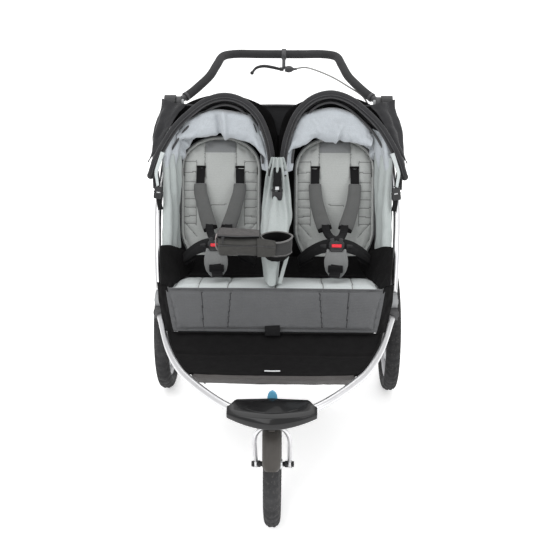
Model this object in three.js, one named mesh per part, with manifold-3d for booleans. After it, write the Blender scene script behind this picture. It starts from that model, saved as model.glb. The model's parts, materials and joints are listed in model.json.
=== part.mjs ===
// A two-seat, three-wheel jogging stroller, unfolded and standing on its wheels.
// Millimetres. +Z is up, -Y is the front, X = 0 is the plane of symmetry. The origin is on the floor,
// under the middle of the overall box.
import * as THREE from 'three';
import { ConvexGeometry } from 'three/addons/geometries/ConvexGeometry.js';
import { mergeVertices } from 'three/addons/utils/BufferGeometryUtils.js';
import Module from 'manifold-3d';

// ---- Driving dimensions ----
const GAP = 0.3; // between pieces that touch
const RUN = 0.4; // between a turning piece and what it turns on
const TUBE = 20; // outer diameter of the frame tubes

const REAR_AXLE = { x: 352.5, y: 335, z: 200 };
const FRONT_AXLE = { y: -415, z: 157 };
const REAR_WHEEL = { tyre: 200, bead: 155, width: 44, hub: 28.5, spokes: 20 };
const FRONT_WHEEL = { tyre: 157, bead: 105, width: 40, hub: 25, spokes: 16 };
const WHEEL_SIDES = 32;
const SWIVEL_Y = -495; // upright axis of the front fork, 80 in front of its axle

const FOLD = { y: 0, z: 430, inner: 318.5, outer: 339.5, disc: 22 }; // main hinge, axis along X
const RISE = { y: 0.551, z: 0.835 }; // direction of the upper tubes, seen from the side
const SHOULDER = { y: 320, z: 925, inner: 300, outer: 333, r: 21 }; // handlebar hinge
const BAR = { y: 555.5, z: 1027, grip: 25, tube: 19 }; // middle of the handlebar
const CANOPY = { y: 175, z: 745, inner: 14, outer: 362.5, rod: 12 }; // hinge of the hoods
const LEVER = { x: 8, y: 515, z: 988 }; // pivot of the hand brake lever
const LEVER_OUT = { y: -0.71, z: -0.704 }; // from the handlebar towards the lever

const SEAT_X = 166; // middle of each seat
const SEAT_HALF = 119;
const CREASE = { y: 125, z: 462 }; // where seat and back meet
const BACK = { length: 403, thick: 32, lean: THREE.MathUtils.degToRad(70.4) };
const BENCH = { half: 290, front: -117, back: 116, frontZ: 516, backZ: 461, thick: 38 };
const CROTCH = { y: -8, z: 500 }; // where the strap between the legs leaves the seat

// ---- Materials ----
const finish = (color, roughness, metalness = 0) =>
  new THREE.MeshStandardMaterial({ color, roughness, metalness });
const MATERIALS = {
  silver: finish(0xd2d4d4, 0.35, 0.85),
  plastic: finish(0x1c1c1e, 0.45),
  gloss: finish(0x0f0f10, 0.15),
  hingeGrey: finish(0x8a8c8e, 0.5),
  foam: finish(0x333436, 0.9),
  rubber: finish(0x2a2a2b, 0.85),
  rim: finish(0x9a9c9e, 0.4, 0.6),
  fender: finish(0x45433f, 0.6),
  seatLight: finish(0xa5a9a8, 0.95),
  seatDark: finish(0x5b5d5f, 0.95),
  seatPale: finish(0xb9c0c2, 0.95),
  lining: finish(0x3a3a3d, 0.95),
  mesh: finish(0x161616, 0.95),
  webbing: finish(0x151516, 0.8),
  blue: finish(0x3f97c4, 0.4),
  red: finish(0xc8282d, 0.4),
};

// ---- Geometry helpers ----
const wasm = await Module();
wasm.setup();
const v = (x, y, z) => new THREE.Vector3(x, y, z);

function solid(geometry) {
  const bare = geometry.clone();
  bare.deleteAttribute('normal');
  bare.deleteAttribute('uv');
  const merged = mergeVertices(bare, 1e-3);
  const mesh = new wasm.Mesh({
    numProp: 3,
    vertProperties: new Float32Array(merged.attributes.position.array),
    triVerts: new Uint32Array(merged.index.array),
  });
  return new wasm.Manifold(mesh);
}

function shown(manifold) {
  const mesh = manifold.getMesh();
  const geometry = new THREE.BufferGeometry();
  geometry.setAttribute('position', new THREE.BufferAttribute(new Float32Array(mesh.vertProperties), 3));
  geometry.setIndex(new THREE.BufferAttribute(new Uint32Array(mesh.triVerts), 1));
  return geometry;
}

const join = (first, ...rest) => shown(rest.reduce((sum, g) => sum.add(solid(g)), solid(first)));
const cut = (first, ...rest) => shown(rest.reduce((sum, g) => sum.subtract(solid(g)), solid(first)));

// The mirror image across X = 0, with its faces still pointing out.
function mirrored(geometry) {
  const flat = geometry.index ? geometry.toNonIndexed() : geometry.clone();
  flat.scale(-1, 1, 1);
  const p = flat.attributes.position;
  for (let i = 0; i < p.count; i += 3) {
    const a = [p.getX(i + 1), p.getY(i + 1), p.getZ(i + 1)];
    p.setXYZ(i + 1, p.getX(i + 2), p.getY(i + 2), p.getZ(i + 2));
    p.setXYZ(i + 2, ...a);
  }
  flat.deleteAttribute('normal');
  return flat;
}

// An oval section, width along X and depth across it, swept along a smooth curve.
function sweep(points, width, depth = width, steps = 12, sides = 10) {
  const curve = new THREE.CatmullRomCurve3(points.map((p) => v(...p)), false, 'centripetal');
  const section = new THREE.Shape().absellipse(0, 0, width / 2, depth / 2, 0, 2 * Math.PI);
  return new THREE.ExtrudeGeometry(section, { steps, curveSegments: sides / 2, extrudePath: curve });
}

const hull = (points) => new ConvexGeometry(points.map((p) => v(...p)));
const box = (x0, x1, y0, y1, z0, z1) =>
  new THREE.BoxGeometry(x1 - x0, y1 - y0, z1 - z0).translate((x0 + x1) / 2, (y0 + y1) / 2, (z0 + z1) / 2);

// A cylinder along X between x0 and x1.
const barX = (r, x0, x1, y = 0, z = 0, sides = 20) =>
  new THREE.CylinderGeometry(r, r, x1 - x0, sides).rotateZ(-Math.PI / 2).translate((x0 + x1) / 2, y, z);

// A turned shape around X from [radius, x] pairs.
const turned = (profile, sides) =>
  new THREE.LatheGeometry(profile.map(([r, x]) => new THREE.Vector2(r, x)), sides).rotateZ(-Math.PI / 2);

// A side-view outline of [y, z] pairs, extruded from x0 to x1.
function sideways(outline, x0, x1) {
  const shape = new THREE.Shape(outline.map(([y, z]) => new THREE.Vector2(y, z)));
  const geometry = new THREE.ExtrudeGeometry(shape, { depth: x1 - x0, bevelEnabled: false });
  const axes = new THREE.Matrix4().makeBasis(v(0, 1, 0), v(0, 0, 1), v(1, 0, 0));
  return geometry.applyMatrix4(axes).translate(x0, 0, 0);
}

const widened = (points) => points.flatMap(([x, y, z]) => [[x, y, z], [-x, y, z]]);

// ---- The scene graph ----
const stroller = new THREE.Group();

function add(name, geometry, material, position = [0, 0, 0], parent = stroller) {
  const mesh = new THREE.Mesh(geometry, MATERIALS[material]);
  mesh.name = name;
  mesh.position.set(...position);
  parent.add(mesh);
  return mesh;
}

// The geometry is the right-hand piece, on +X.
function addPair(name, geometry, material) {
  add(`${name}_left`, mirrored(geometry), material);
  add(`${name}_right`, geometry, material);
}

// ---- Base frame ----
const FRONT_TUBE = [
  [322, -43, 398], [316, -66, 396], [299.5, -136, 388], [281, -205, 380], [260, -264, 373],
  [233, -321, 366], [204, -363, 361], [157, -419, 354], [106, -469, 349], [70, -490, 347],
];
const frontTube = (width, extra = []) => sweep([...FRONT_TUBE, ...extra], width, width, 16, 8);

const LEG_END_X = 303;
const BEAM_R = 12;
const BEAM_END = 322;

function rearFrame() {
  const leg = sweep(
    [[328, 46, 399], [323, 80, 385], [313, 150, 347], [305, 250, 274], [LEG_END_X, REAR_AXLE.y, REAR_AXLE.z]],
    TUBE, TUBE, 8, 8,
  );
  const beam = barX(BEAM_R, -BEAM_END, BEAM_END, REAR_AXLE.y, REAR_AXLE.z, 12);
  const stubs = barX(6, -REAR_AXLE.x, REAR_AXLE.x, REAR_AXLE.y, REAR_AXLE.z, 10);
  return join(beam, leg, mirrored(leg), stubs);
}

// The lower half of the fold hinge, with a round seat for the upper half to turn in.
function hingeLower() {
  const outline = [[-40, 391], [-40, 417], [-20, 420], [22, 422], [40, 417], [40, 386], [0, 380]];
  const block = sideways(outline, FOLD.inner, FOLD.outer);
  return cut(block, barX(FOLD.disc + RUN, FOLD.inner - 1, FOLD.outer + 1, FOLD.y, FOLD.z, 24));
}

addPair('front_tube', frontTube(TUBE), 'silver');
add('rear_frame', rearFrame(), 'silver');
addPair('hinge_lower', hingeLower(), 'plastic');

// ---- Nose housing, fork and front wheel ----
function noseHousing() {
  const shell = hull(widened([
    [88, -458, 362], [0, -455, 365], [106, -505, 354], [60, -524, 357], [30, -531, 358], [0, -533, 359],
    [106, -500, 338], [90, -462, 334], [30, -540, 328], [0, -544, 325], [24, -436, 340], [24, -436, 330],
    [24, -462, 325],
  ]));
  const socket = frontTube(TUBE + 2 * GAP, [[68, -491, 347]]);
  const bore = new THREE.CylinderGeometry(9 + RUN, 9 + RUN, 60, 20).rotateX(Math.PI / 2)
    .translate(0, SWIVEL_Y, 318);
  return cut(shell, socket, mirrored(socket), bore);
}

const FORK_X = 43;
const FENDER = { inner: 159, outer: 161.5, half: 22 };
const NECK_R = 4; // axle where the fork ends hold it

function fork() {
  const half = [
    [FORK_X, -416, 166], [FORK_X, -450, 218], [42.5, -477, 262], [38, -490, 288], [28, -494, 303],
    [14, -495, 310],
  ];
  const hoop = sweep(
    [...half, [0, SWIVEL_Y, 311.5], ...half.map(([x, y, z]) => [-x, y, z]).reverse()], 11, 11, 20, 8,
  );
  const upright = (r, z0, z1) => new THREE.CylinderGeometry(r, r, z1 - z0, 14).rotateX(Math.PI / 2)
    .translate(0, SWIVEL_Y, (z0 + z1) / 2);
  const dropout = box(FORK_X - 3.5, FORK_X + 3.5, FRONT_AXLE.y - 9, FRONT_AXLE.y + 9, 146, 173);
  const body = join(hoop, upright(9, 313, 346), upright(14, 311, 324), dropout, mirrored(dropout));
  return cut(body, barX(NECK_R + GAP, -60, 60, FRONT_AXLE.y, FRONT_AXLE.z, 12));
}

function fender() {
  const arc = new THREE.Shape();
  const from = THREE.MathUtils.degToRad(65);
  const to = THREE.MathUtils.degToRad(154);
  arc.absarc(0, 0, FENDER.outer, from, to, false);
  arc.absarc(0, 0, FENDER.inner, to, from, true);
  const depth = 2 * FENDER.half;
  const strip = new THREE.ExtrudeGeometry(arc, { depth, bevelEnabled: false, curveSegments: 12 });
  // The shape's x is -Y here, so that the strip runs forward and down from the top of the tyre.
  const axes = new THREE.Matrix4().makeBasis(v(0, 1, 0), v(0, 0, 1), v(1, 0, 0));
  strip.applyMatrix4(axes).translate(-FENDER.half, FRONT_AXLE.y, FRONT_AXLE.z);
  return join(strip, box(-7, 7, SWIVEL_Y - 4, SWIVEL_Y + 7, 298.4, 304.8));
}

function frontAxle() {
  const half = [[5, 25.5], [8, 25.6], [8, 36.8], [NECK_R, 36.9], [NECK_R, 49], [7, 49.2], [7, 54]];
  const left = half.map(([r, x]) => [r, -x]).reverse();
  return turned([[0, -54], ...left, ...half, [0, 54]], 16);
}

// A tyre is a closed ring, and a wheel is its rim, spokes and hub in one piece.
function tyre({ tyre: r, bead, width }) {
  const mid = (r + bead) / 2;
  const w = width / 2;
  const ring = [
    [bead + 0.4, -w * 0.55], [mid, -w], [r - 6, -w * 0.75], [r, -w * 0.25], [r, w * 0.25],
    [r - 6, w * 0.75], [mid, w], [bead + 0.4, w * 0.55], [bead + 0.4, -w * 0.55],
  ];
  return turned(ring, WHEEL_SIDES);
}

function wheel({ bead, hub, spokes }, bores) {
  const w = 13;
  const rim = turned([[bead, -w], [bead, w], [bead - 12, w * 0.7], [bead - 12, -w * 0.7], [bead, -w]],
    WHEEL_SIDES);
  const core = turned([
    [0, -hub], [13, -hub], [20, -hub * 0.6], [20, hub * 0.6], [13, hub], [0, hub],
  ], 14);
  const bars = Array.from({ length: spokes }, (_, i) => {
    const side = i % 2 ? 5 : -5;
    const bar = new THREE.CylinderGeometry(2, 2, bead - 22, 4).translate(0, (bead + 2) / 2, 0);
    return bar.rotateX((2 * Math.PI * i) / spokes).translate(side, 0, 0);
  });
  return cut(join(rim, core, ...bars), ...bores);
}

add('nose_housing', noseHousing(), 'gloss');
add('fork', fork(), 'silver');
add('front_fender', fender(), 'fender');
const frontWheel = new THREE.Group();
frontWheel.position.set(0, FRONT_AXLE.y, FRONT_AXLE.z);
stroller.add(frontWheel);
add('front_axle', frontAxle(), 'plastic', [0, 0, 0], frontWheel);
add('front_tyre', tyre(FRONT_WHEEL), 'rubber', [0, 0, 0], frontWheel);
add('front_wheel', wheel(FRONT_WHEEL, [barX(5 + RUN, -40, 40)]), 'rim', [0, 0, 0], frontWheel);

// The lock tab stands on a ledge behind the nose.
const tab = hull(widened([
  [11, -445, 352.5], [11, -437, 352.5], [11, -444, 366], [11, -438, 366], [5, -443, 377], [5, -439, 377],
]));
add('swivel_lock_lever', tab, 'blue');

// ---- Rear wheels, with their release buttons ----
const HUB = REAR_WHEEL.hub;
const BUTTON_R = 9;
for (const side of [-1, 1]) {
  const name = side < 0 ? 'left' : 'right';
  const group = new THREE.Group();
  group.position.set(side * REAR_AXLE.x, REAR_AXLE.y, REAR_AXLE.z);
  group.rotation.y = side < 0 ? Math.PI : 0;
  stroller.add(group);
  const bores = [barX(6 + RUN, -HUB - 1, 1), barX(BUTTON_R + RUN, 14, HUB + 1)];
  const button = turned([[0, 18.5], [BUTTON_R, 18.5], [BUTTON_R, 33], [6, 35.5], [0, 35.5]], 16);
  add(`rear_tyre_${name}`, tyre(REAR_WHEEL), 'rubber', [0, 0, 0], group);
  add(`rear_wheel_${name}`, wheel(REAR_WHEEL, bores), 'rim', [0, 0, 0], group);
  add(`wheel_button_${name}`, button, 'hingeGrey', [0, 0, 0], group);
}

// ---- Parking brake pedal, clipped around the middle of the rear axle ----
function pedal() {
  const plate = hull([
    [-30, 352, 205], [30, 352, 205], [-34, 418, 214], [34, 418, 214],
    [-30, 352, 197], [30, 352, 197], [-34, 418, 206], [34, 418, 206],
  ]);
  const neck = box(-12, 12, 349, 356, 194, 206);
  const ring = barX(18, -12, 12, REAR_AXLE.y, REAR_AXLE.z, 24);
  return cut(join(ring, neck, plate), barX(BEAM_R + RUN, -40, 40, REAR_AXLE.y, REAR_AXLE.z, 24));
}
add('parking_brake_pedal', pedal(), 'plastic');

// ---- Soft goods on the base ----
const bench = [
  [BENCH.front, BENCH.frontZ], [BENCH.back, BENCH.backZ], [BENCH.back - 4, BENCH.backZ - BENCH.thick],
  [BENCH.front, BENCH.frontZ - BENCH.thick],
];
add('seat_bench', sideways(bench, -BENCH.half, BENCH.half), 'seatPale');

add('calf_panel', hull(widened([
  [292, -119, 514], [292, -119, 477], [267, -168, 408], [267, -157, 405],
])), 'seatDark');

function footwell() {
  const edge = [[279, -162, 401], [267, -205, 394], [246, -264, 386], [219, -321, 377], [207, -340, 374]];
  const plate = hull(widened(edge.flatMap(([x, y, z]) => [[x, y, z], [x, y, z - 6]])));
  const lip = hull(widened([[205, -341, 374], [205, -334, 374], [190, -341, 350], [190, -335, 350]]));
  return join(plate, lip);
}
add('footwell', footwell(), 'mesh');

function basket() {
  const rim = [[178, -322, 347], [232, -225, 356], [266, -100, 358], [268, 285, 358]];
  const floor = [[158, -272, 318], [192, -130, 244], [235, 20, 226], [240, 272, 226]];
  const wall = 4;
  const inner = [...rim.map(([x, y, z]) => [x - wall, y + (y < -200 ? wall : 0), z]),
    ...rim.map(([x, y, z]) => [x - wall, y + (y < -200 ? wall : 0), z + 20]),
    ...floor.map(([x, y, z]) => [x - wall, y + (y < -100 ? wall : 0), z + wall])]
    .map(([x, y, z]) => [x, y > 200 ? y - wall : y, z]);
  return cut(hull(widened([...rim, ...floor])), hull(widened(inner)));
}
add('cargo_basket', basket(), 'mesh');

addPair('side_panel', hull([
  [302, -104, 514], [296, -104, 520], [262, 108, 468], [256, 108, 474], [322, 52, 588], [315, 58, 588],
  [290, 128, 592], [284, 122, 592],
]), 'mesh');

const crotchBase = box(SEAT_X - 13, SEAT_X + 13, CROTCH.y - 3, CROTCH.y + 3, CROTCH.z, 522);
const crotchPad = hull([[-30, 520], [30, 520], [-34, 540], [34, 540], [-28, 590], [28, 590]]
  .flatMap(([x, z]) => [[SEAT_X + x, CROTCH.y - 6, z], [SEAT_X + x, CROTCH.y + 6, z]]));
const buckle = box(SEAT_X - 20, SEAT_X + 20, CROTCH.y - 8, CROTCH.y + 6, 586, 612);
const buckleSlot = box(SEAT_X - 14, SEAT_X + 14, CROTCH.y - 12, CROTCH.y - 1, 595, 607);
addPair('crotch_pad', cut(join(crotchBase, crotchPad, buckle), buckleSlot), 'seatDark');
addPair('buckle_button',
  box(SEAT_X - 13.6, SEAT_X + 13.6, CROTCH.y - 10, CROTCH.y - 4, 595.4, 606.6), 'red');

// ---- Upper frame ----
const UPPER_TUBE = [[330.5, 26], [338, 135], [341, 280], [331, 365], [321, 450], [317, 556.5]]
  .map(([x, s]) => [x, FOLD.y + s * RISE.y, FOLD.z + s * RISE.z]);
const upperTube = (margin = 0) => sweep(UPPER_TUBE, TUBE + margin, 30 + margin, 10);
addPair('upper_tube', upperTube(), 'silver');

function hingeUpper() {
  const disc = barX(FOLD.disc, FOLD.inner, FOLD.outer, FOLD.y, FOLD.z, 24);
  const collar = box(FOLD.inner, FOLD.outer, -13, 13, 0, 24)
    .rotateX(-Math.atan2(RISE.y, RISE.z)).translate(0, FOLD.y, FOLD.z);
  return join(disc, collar);
}
addPair('hinge_upper', hingeUpper(), 'hingeGrey');
const shoulderHub = barX(SHOULDER.r, SHOULDER.inner, SHOULDER.outer, SHOULDER.y, SHOULDER.z, 24);
addPair('shoulder_hub', shoulderHub, 'plastic');

// A fabric wing closes the space between each upper tube and the side of the seat back.
addPair('side_wing', hull([
  [318, 98, 594], [312, 92, 594], [318, 166, 700], [312, 160, 700],
  [294, 172, 600], [288, 166, 600], [294, 206, 700], [288, 200, 700],
]), 'seatLight');

add('seat_divider', hull(widened([
  [14, 118, 655], [14, 160, 655], [20, -96, 516], [36, -92, 514], [36, 112, 466], [24, 112, 560],
])), 'seatPale');
add('rear_panel', hull(widened([
  [280, 303, 872], [280, 311, 872], [280, 303, 915], [280, 311, 915],
])), 'lining');

addPair('canopy_clamp', box(349.5, 355.7, CANOPY.y - 16, CANOPY.y + 22, 690, 738), 'plastic');
add('canopy_clamp_center', join(
  box(-16, 16, 148, 160, 668, 734), box(-7, 7, 158, 196, 690, 762),
), 'plastic');

// The brake cable runs behind the right-hand tube, 3 mm clear of it.
const CABLE = 5;
const cableOnFrame = UPPER_TUBE.map(([x, y, z], i) => {
  const along = i === 0 ? 8 : i === UPPER_TUBE.length - 1 ? -8 : 0;
  return [x, y + along * RISE.y + 19 * RISE.z, z + along * RISE.z - 19 * RISE.y];
});
const frameCable = (width) => sweep(cableOnFrame, width, width, 10, 6);
add('brake_cable_frame', frameCable(CABLE), 'webbing');
add('brake_cable_lower', sweep([
  [308, 44, 426], [303, 90, 398], [295, 150, 356], [288, 250, 284], [287, 316, 224],
], CABLE, CABLE, 8, 6), 'webbing');

// ---- Handlebar ----
const BAR_HALF = [
  [291, 325, 928], [262, 352, 943], [232, 385, 964], [207, 425, 984], [190, 480, 1007],
  [174, 532, 1024], [140, BAR.y, BAR.z], [60, BAR.y, BAR.z],
];
const BAR_PATH = [...BAR_HALF, [0, BAR.y, BAR.z], ...BAR_HALF.map(([x, y, z]) => [-x, y, z]).reverse()];
const BAR_STEPS = 26;
const PIVOT_INNER = 284; // inner face of the discs that turn on the shoulder hubs

function handlebarTube() {
  const disc = barX(17, PIVOT_INNER, SHOULDER.inner - 0.5, SHOULDER.y, SHOULDER.z, 16);
  const well = barX(BUTTON_R + RUN, 240, 293, SHOULDER.y, SHOULDER.z, 16);
  const tube = sweep(BAR_PATH, BAR.tube, BAR.tube, BAR_STEPS, 8);
  return cut(join(tube, disc, mirrored(disc)), well, mirrored(well));
}

function handlebarGrip() {
  const sleeve = sweep(BAR_PATH.slice(1, -1), BAR.grip, BAR.grip, BAR_STEPS, 8);
  return cut(sleeve, sweep(BAR_PATH, BAR.tube + 2 * GAP, BAR.tube + 2 * GAP, BAR_STEPS, 8));
}

// The lever bracket: a band around the grip, a stem and the housing that the cable leaves.
function leverBracket() {
  const x = 13;
  const band = barX(16.5, x - 6, x + 6, BAR.y, BAR.z, 24);
  const out = (d, half) => [BAR.y + d * LEVER_OUT.y, BAR.z + d * LEVER_OUT.z, half];
  const stem = hull([out(10, 5), out(52, 6)].flatMap(([y, z, h]) => [
    [x - 5, y - h, z + h], [x - 5, y + h, z - h], [x + 6, y - h, z + h], [x + 6, y + h, z - h],
  ]));
  const housing = hull([[16.5, 7], [24, 10], [38, 9], [46, 4]].flatMap(([hx, h]) => [
    [hx, LEVER.y - h, LEVER.z - h], [hx, LEVER.y + h, LEVER.z - h],
    [hx, LEVER.y - h, LEVER.z + h], [hx, LEVER.y + h, LEVER.z + h],
  ]));
  const rootRoom = barX(30, -10, 15.8, LEVER.y, LEVER.z, 16);
  const body = join(band, cut(stem, rootRoom), housing);
  return cut(body, barX(BAR.grip / 2 + GAP, x - 8, x + 8, BAR.y, BAR.z, 24));
}

function brakeLever() {
  const blade = sweep([
    [LEVER.x, LEVER.y, LEVER.z], [-20, 515, 993], [-50, 514, 997], [-72, 508, 992], [-84, 500, 979],
  ], 6, 10, 10, 8);
  return join(blade, barX(6, 1, 13, LEVER.y, LEVER.z, 14));
}

add('handlebar_tube', handlebarTube(), 'plastic');
add('handlebar_grip', handlebarGrip(), 'foam');
add('brake_lever_bracket', leverBracket(), 'plastic');
add('brake_lever', brakeLever(), 'plastic');
add('brake_cable_handlebar', sweep([
  [48, 513, 990], [78, 500, 996], [109, 480, 992], [160, 446, 977], [207, 402, 957], [250, 366, 934],
  [268, 349, 908],
], CABLE, CABLE, 12, 6), 'webbing');
addPair('adjust_button', turned([
  [0, -7], [7, -7], [BUTTON_R, -5], [BUTTON_R, 4], [0, 4],
], 16).translate(PIVOT_INNER, SHOULDER.y, SHOULDER.z), 'hingeGrey');

// ---- Seat backs with their harness ----
function seatBack() {
  const w = SEAT_HALF;
  const h = BACK.length;
  const outline = new THREE.Shape();
  outline.moveTo(-w, 0);
  outline.lineTo(w, 0);
  outline.lineTo(w, h - 95);
  outline.bezierCurveTo(w, h - 20, w * 0.6, h, 0, h);
  outline.bezierCurveTo(-w * 0.6, h, -w, h - 20, -w, h - 95);
  return new THREE.ExtrudeGeometry(outline, { depth: BACK.thick, bevelEnabled: false, curveSegments: 6 })
    .translate(0, 0, -BACK.thick);
}
for (const side of [-1, 1]) {
  const back = add(side < 0 ? 'seat_back_left' : 'seat_back_right', seatBack(), 'seatLight',
    [side * SEAT_X, CREASE.y, CREASE.z]);
  back.rotation.x = BACK.lean;
}

function harness() {
  const strap = (points, width, depth) => sweep(points, width, depth, 3, 6);
  const pads = [58, -58].map((dx) => strap([
    [SEAT_X + dx, 194, 716], [SEAT_X + dx * 0.8, 160, 662], [SEAT_X + dx * 0.45, 122, 606],
  ], 32, 12));
  const tails = [58, -58].map((dx) => strap([
    [SEAT_X + dx * 0.5, 128, 612], [SEAT_X + dx * 0.2, 60, 606], [SEAT_X, 12, 614],
  ], 22, 5));
  return join(pads[0], tails[0], tails[1], pads[1]);
}
addPair('harness', harness(), 'seatDark');

// ---- Hoods ----
const HOOP = [
  [CANOPY.outer, 0], [347, 45], [323, 90], [290, 140], [250, 180], [203, 215], [150, 230],
  [98, 216], [55, 175], [29, 115], [17, 55], [CANOPY.inner, 0],
];
const onHoop = ([x, up]) => [x, CANOPY.y + up * 0.12, CANOPY.z + up];

addPair('canopy_bow', sweep(HOOP.map(onHoop), CANOPY.rod, CANOPY.rod, 18, 6), 'plastic');

// Each hood is a short tunnel behind its bow, cut open where the frame tube and the cable pass.
function canopyFabric() {
  const middle = 186;
  const arch = (thinner, front, back) => HOOP.slice(0, -1).flatMap(([x, up]) => {
    const px = x + Math.sign(middle - x) * thinner;
    const pz = Math.max(up - thinner, 25);
    return [
      [px, CANOPY.y + pz * 0.12 + front, CANOPY.z + pz],
      [px + (middle - px) * 0.06, CANOPY.y + back, CANOPY.z + pz * 0.86],
    ];
  });
  const inner = arch(9, -20, 160);
  const lower = inner.map(([x, y, z]) => [x, y, z - 60]);
  const cover = hull(arch(-3, 14, 120));
  const tunnel = solid(cut(cover, hull([...inner, ...lower]), upperTube(4), frameCable(9)));
  return shown(tunnel.decompose().sort((a, b) => b.volume() - a.volume())[0]);
}
addPair('canopy_fabric', canopyFabric(), 'lining');

// ---- Snack tray across the left-hand seat, with a cup holder at its inner end ----
const TRAY = { x0: -157, x1: -36, y0: -126, y1: -62, z0: 607, z1: 663, wall: 6 };
const CUP = { x: 3, y: -84, r: 44, z0: 587, z1: 652, wall: 5 };
function snackTray() {
  const { wall } = TRAY;
  const pocket = box(TRAY.x0, TRAY.x1, TRAY.y0, TRAY.y1, TRAY.z0, TRAY.z1);
  const cup = (r, z0, z1) => new THREE.CylinderGeometry(r, r, z1 - z0, 32).rotateX(Math.PI / 2)
    .translate(CUP.x, CUP.y, (z0 + z1) / 2);
  const pocketEnd = CUP.x - CUP.r - wall;
  const inside = box(TRAY.x0 + wall, pocketEnd, TRAY.y0 + wall, TRAY.y1 - wall, TRAY.z0 + wall, TRAY.z1 + 4);
  const cupInside = cup(CUP.r - CUP.wall, CUP.z0 + CUP.wall, CUP.z1 + 2);
  return cut(join(pocket, cup(CUP.r, CUP.z0, CUP.z1)), inside, cupInside);
}
add('snack_tray', snackTray(), 'lining');

export default stroller;
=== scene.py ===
# A two-seat, three-wheel jogging stroller: the detailed pieces over the CAD frame. Metres, +Z up, -Y the front.
import json
import math

import bmesh
import bpy
import numpy as np
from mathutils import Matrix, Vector, noise
from mathutils.bvhtree import BVHTree

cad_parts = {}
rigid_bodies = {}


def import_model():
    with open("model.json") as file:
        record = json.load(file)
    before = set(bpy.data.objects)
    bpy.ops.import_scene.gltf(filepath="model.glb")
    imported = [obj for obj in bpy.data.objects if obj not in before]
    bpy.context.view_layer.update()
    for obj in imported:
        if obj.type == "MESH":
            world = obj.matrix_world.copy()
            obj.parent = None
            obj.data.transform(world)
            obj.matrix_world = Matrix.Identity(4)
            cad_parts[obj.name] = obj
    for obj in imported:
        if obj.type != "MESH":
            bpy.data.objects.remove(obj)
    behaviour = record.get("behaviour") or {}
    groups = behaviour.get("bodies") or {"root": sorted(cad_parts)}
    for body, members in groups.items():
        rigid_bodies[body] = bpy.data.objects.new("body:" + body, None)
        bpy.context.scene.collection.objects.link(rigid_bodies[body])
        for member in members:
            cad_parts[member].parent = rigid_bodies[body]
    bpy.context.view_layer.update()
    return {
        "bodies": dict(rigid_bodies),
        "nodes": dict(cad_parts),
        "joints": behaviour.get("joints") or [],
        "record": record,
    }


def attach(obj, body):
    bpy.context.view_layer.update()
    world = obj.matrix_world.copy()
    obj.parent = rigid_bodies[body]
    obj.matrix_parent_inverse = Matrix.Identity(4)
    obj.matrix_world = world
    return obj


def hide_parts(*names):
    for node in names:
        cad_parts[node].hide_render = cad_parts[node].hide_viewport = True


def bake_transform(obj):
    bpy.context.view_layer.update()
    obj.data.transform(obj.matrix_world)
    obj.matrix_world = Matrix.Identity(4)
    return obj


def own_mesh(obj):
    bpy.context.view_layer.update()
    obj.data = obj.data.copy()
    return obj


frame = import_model()
NODES = frame["nodes"]
SIDES = (("left", -1), ("right", 1))

# ---------------------------------------------------------------- Camera, light and floor
AZIMUTH, ELEVATION, DISTANCE = math.radians(1.212), math.radians(21.437), 2.839
TARGET = Vector((-0.003, 0.0, 0.508))


def camera():
    data = bpy.data.cameras.new("camera")
    data.lens = 66.7
    data.sensor_width = 36
    cam = bpy.data.objects.new("camera", data)
    back = Vector((
        math.sin(AZIMUTH) * math.cos(ELEVATION), -math.cos(AZIMUTH) * math.cos(ELEVATION), math.sin(ELEVATION),
    ))
    cam.location = TARGET + back * DISTANCE
    cam.rotation_euler = (-back).to_track_quat("-Z", "Y").to_euler()
    bpy.context.scene.collection.objects.link(cam)
    bpy.context.scene.camera = cam


def area_light(name, place, size, power, target=(0, 0, 0.45)):
    data = bpy.data.lights.new(name, "AREA")
    data.shape = "RECTANGLE"
    data.size, data.size_y = size
    data.energy = power
    lamp = bpy.data.objects.new(name, data)
    lamp.location = place
    lamp.rotation_euler = (Vector(place) - Vector(target)).to_track_quat("Z", "Y").to_euler()
    bpy.context.scene.collection.objects.link(lamp)


def stage():
    world = bpy.data.worlds.new("studio")
    world.use_nodes = True
    background = world.node_tree.nodes["Background"]
    background.inputs["Color"].default_value = (1.0, 1.0, 1.0, 1.0)
    background.inputs["Strength"].default_value = 1.0
    bpy.context.scene.world = world
    bpy.context.scene.view_settings.view_transform = "Standard"
    area_light("key", (-1.3, -2.2, 3.0), (2.4, 2.4), 46)
    area_light("fill", (2.4, -1.6, 1.9), (2.0, 2.0), 20)
    area_light("top", (0.0, 0.8, 3.4), (3.0, 2.4), 34)
    mesh = bpy.data.meshes.new("floor")
    r = 14.0
    mesh.from_pydata([(-r, -r, 0), (r, -r, 0), (r, r, 0), (-r, r, 0)], [], [(0, 1, 2, 3)])
    floor = bpy.data.objects.new("floor", mesh)
    bpy.context.scene.collection.objects.link(floor)
    pale = bpy.data.materials.new("floor_pale")
    pale.use_nodes = True
    shader = pale.node_tree.nodes["Principled BSDF"]
    shader.inputs["Base Color"].default_value = (0.97, 0.97, 0.97, 1)
    shader.inputs["Roughness"].default_value = 0.7
    shader.inputs["Emission Color"].default_value = (1, 1, 1, 1)
    shader.inputs["Emission Strength"].default_value = 0.40
    mesh.materials.append(pale)


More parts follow.
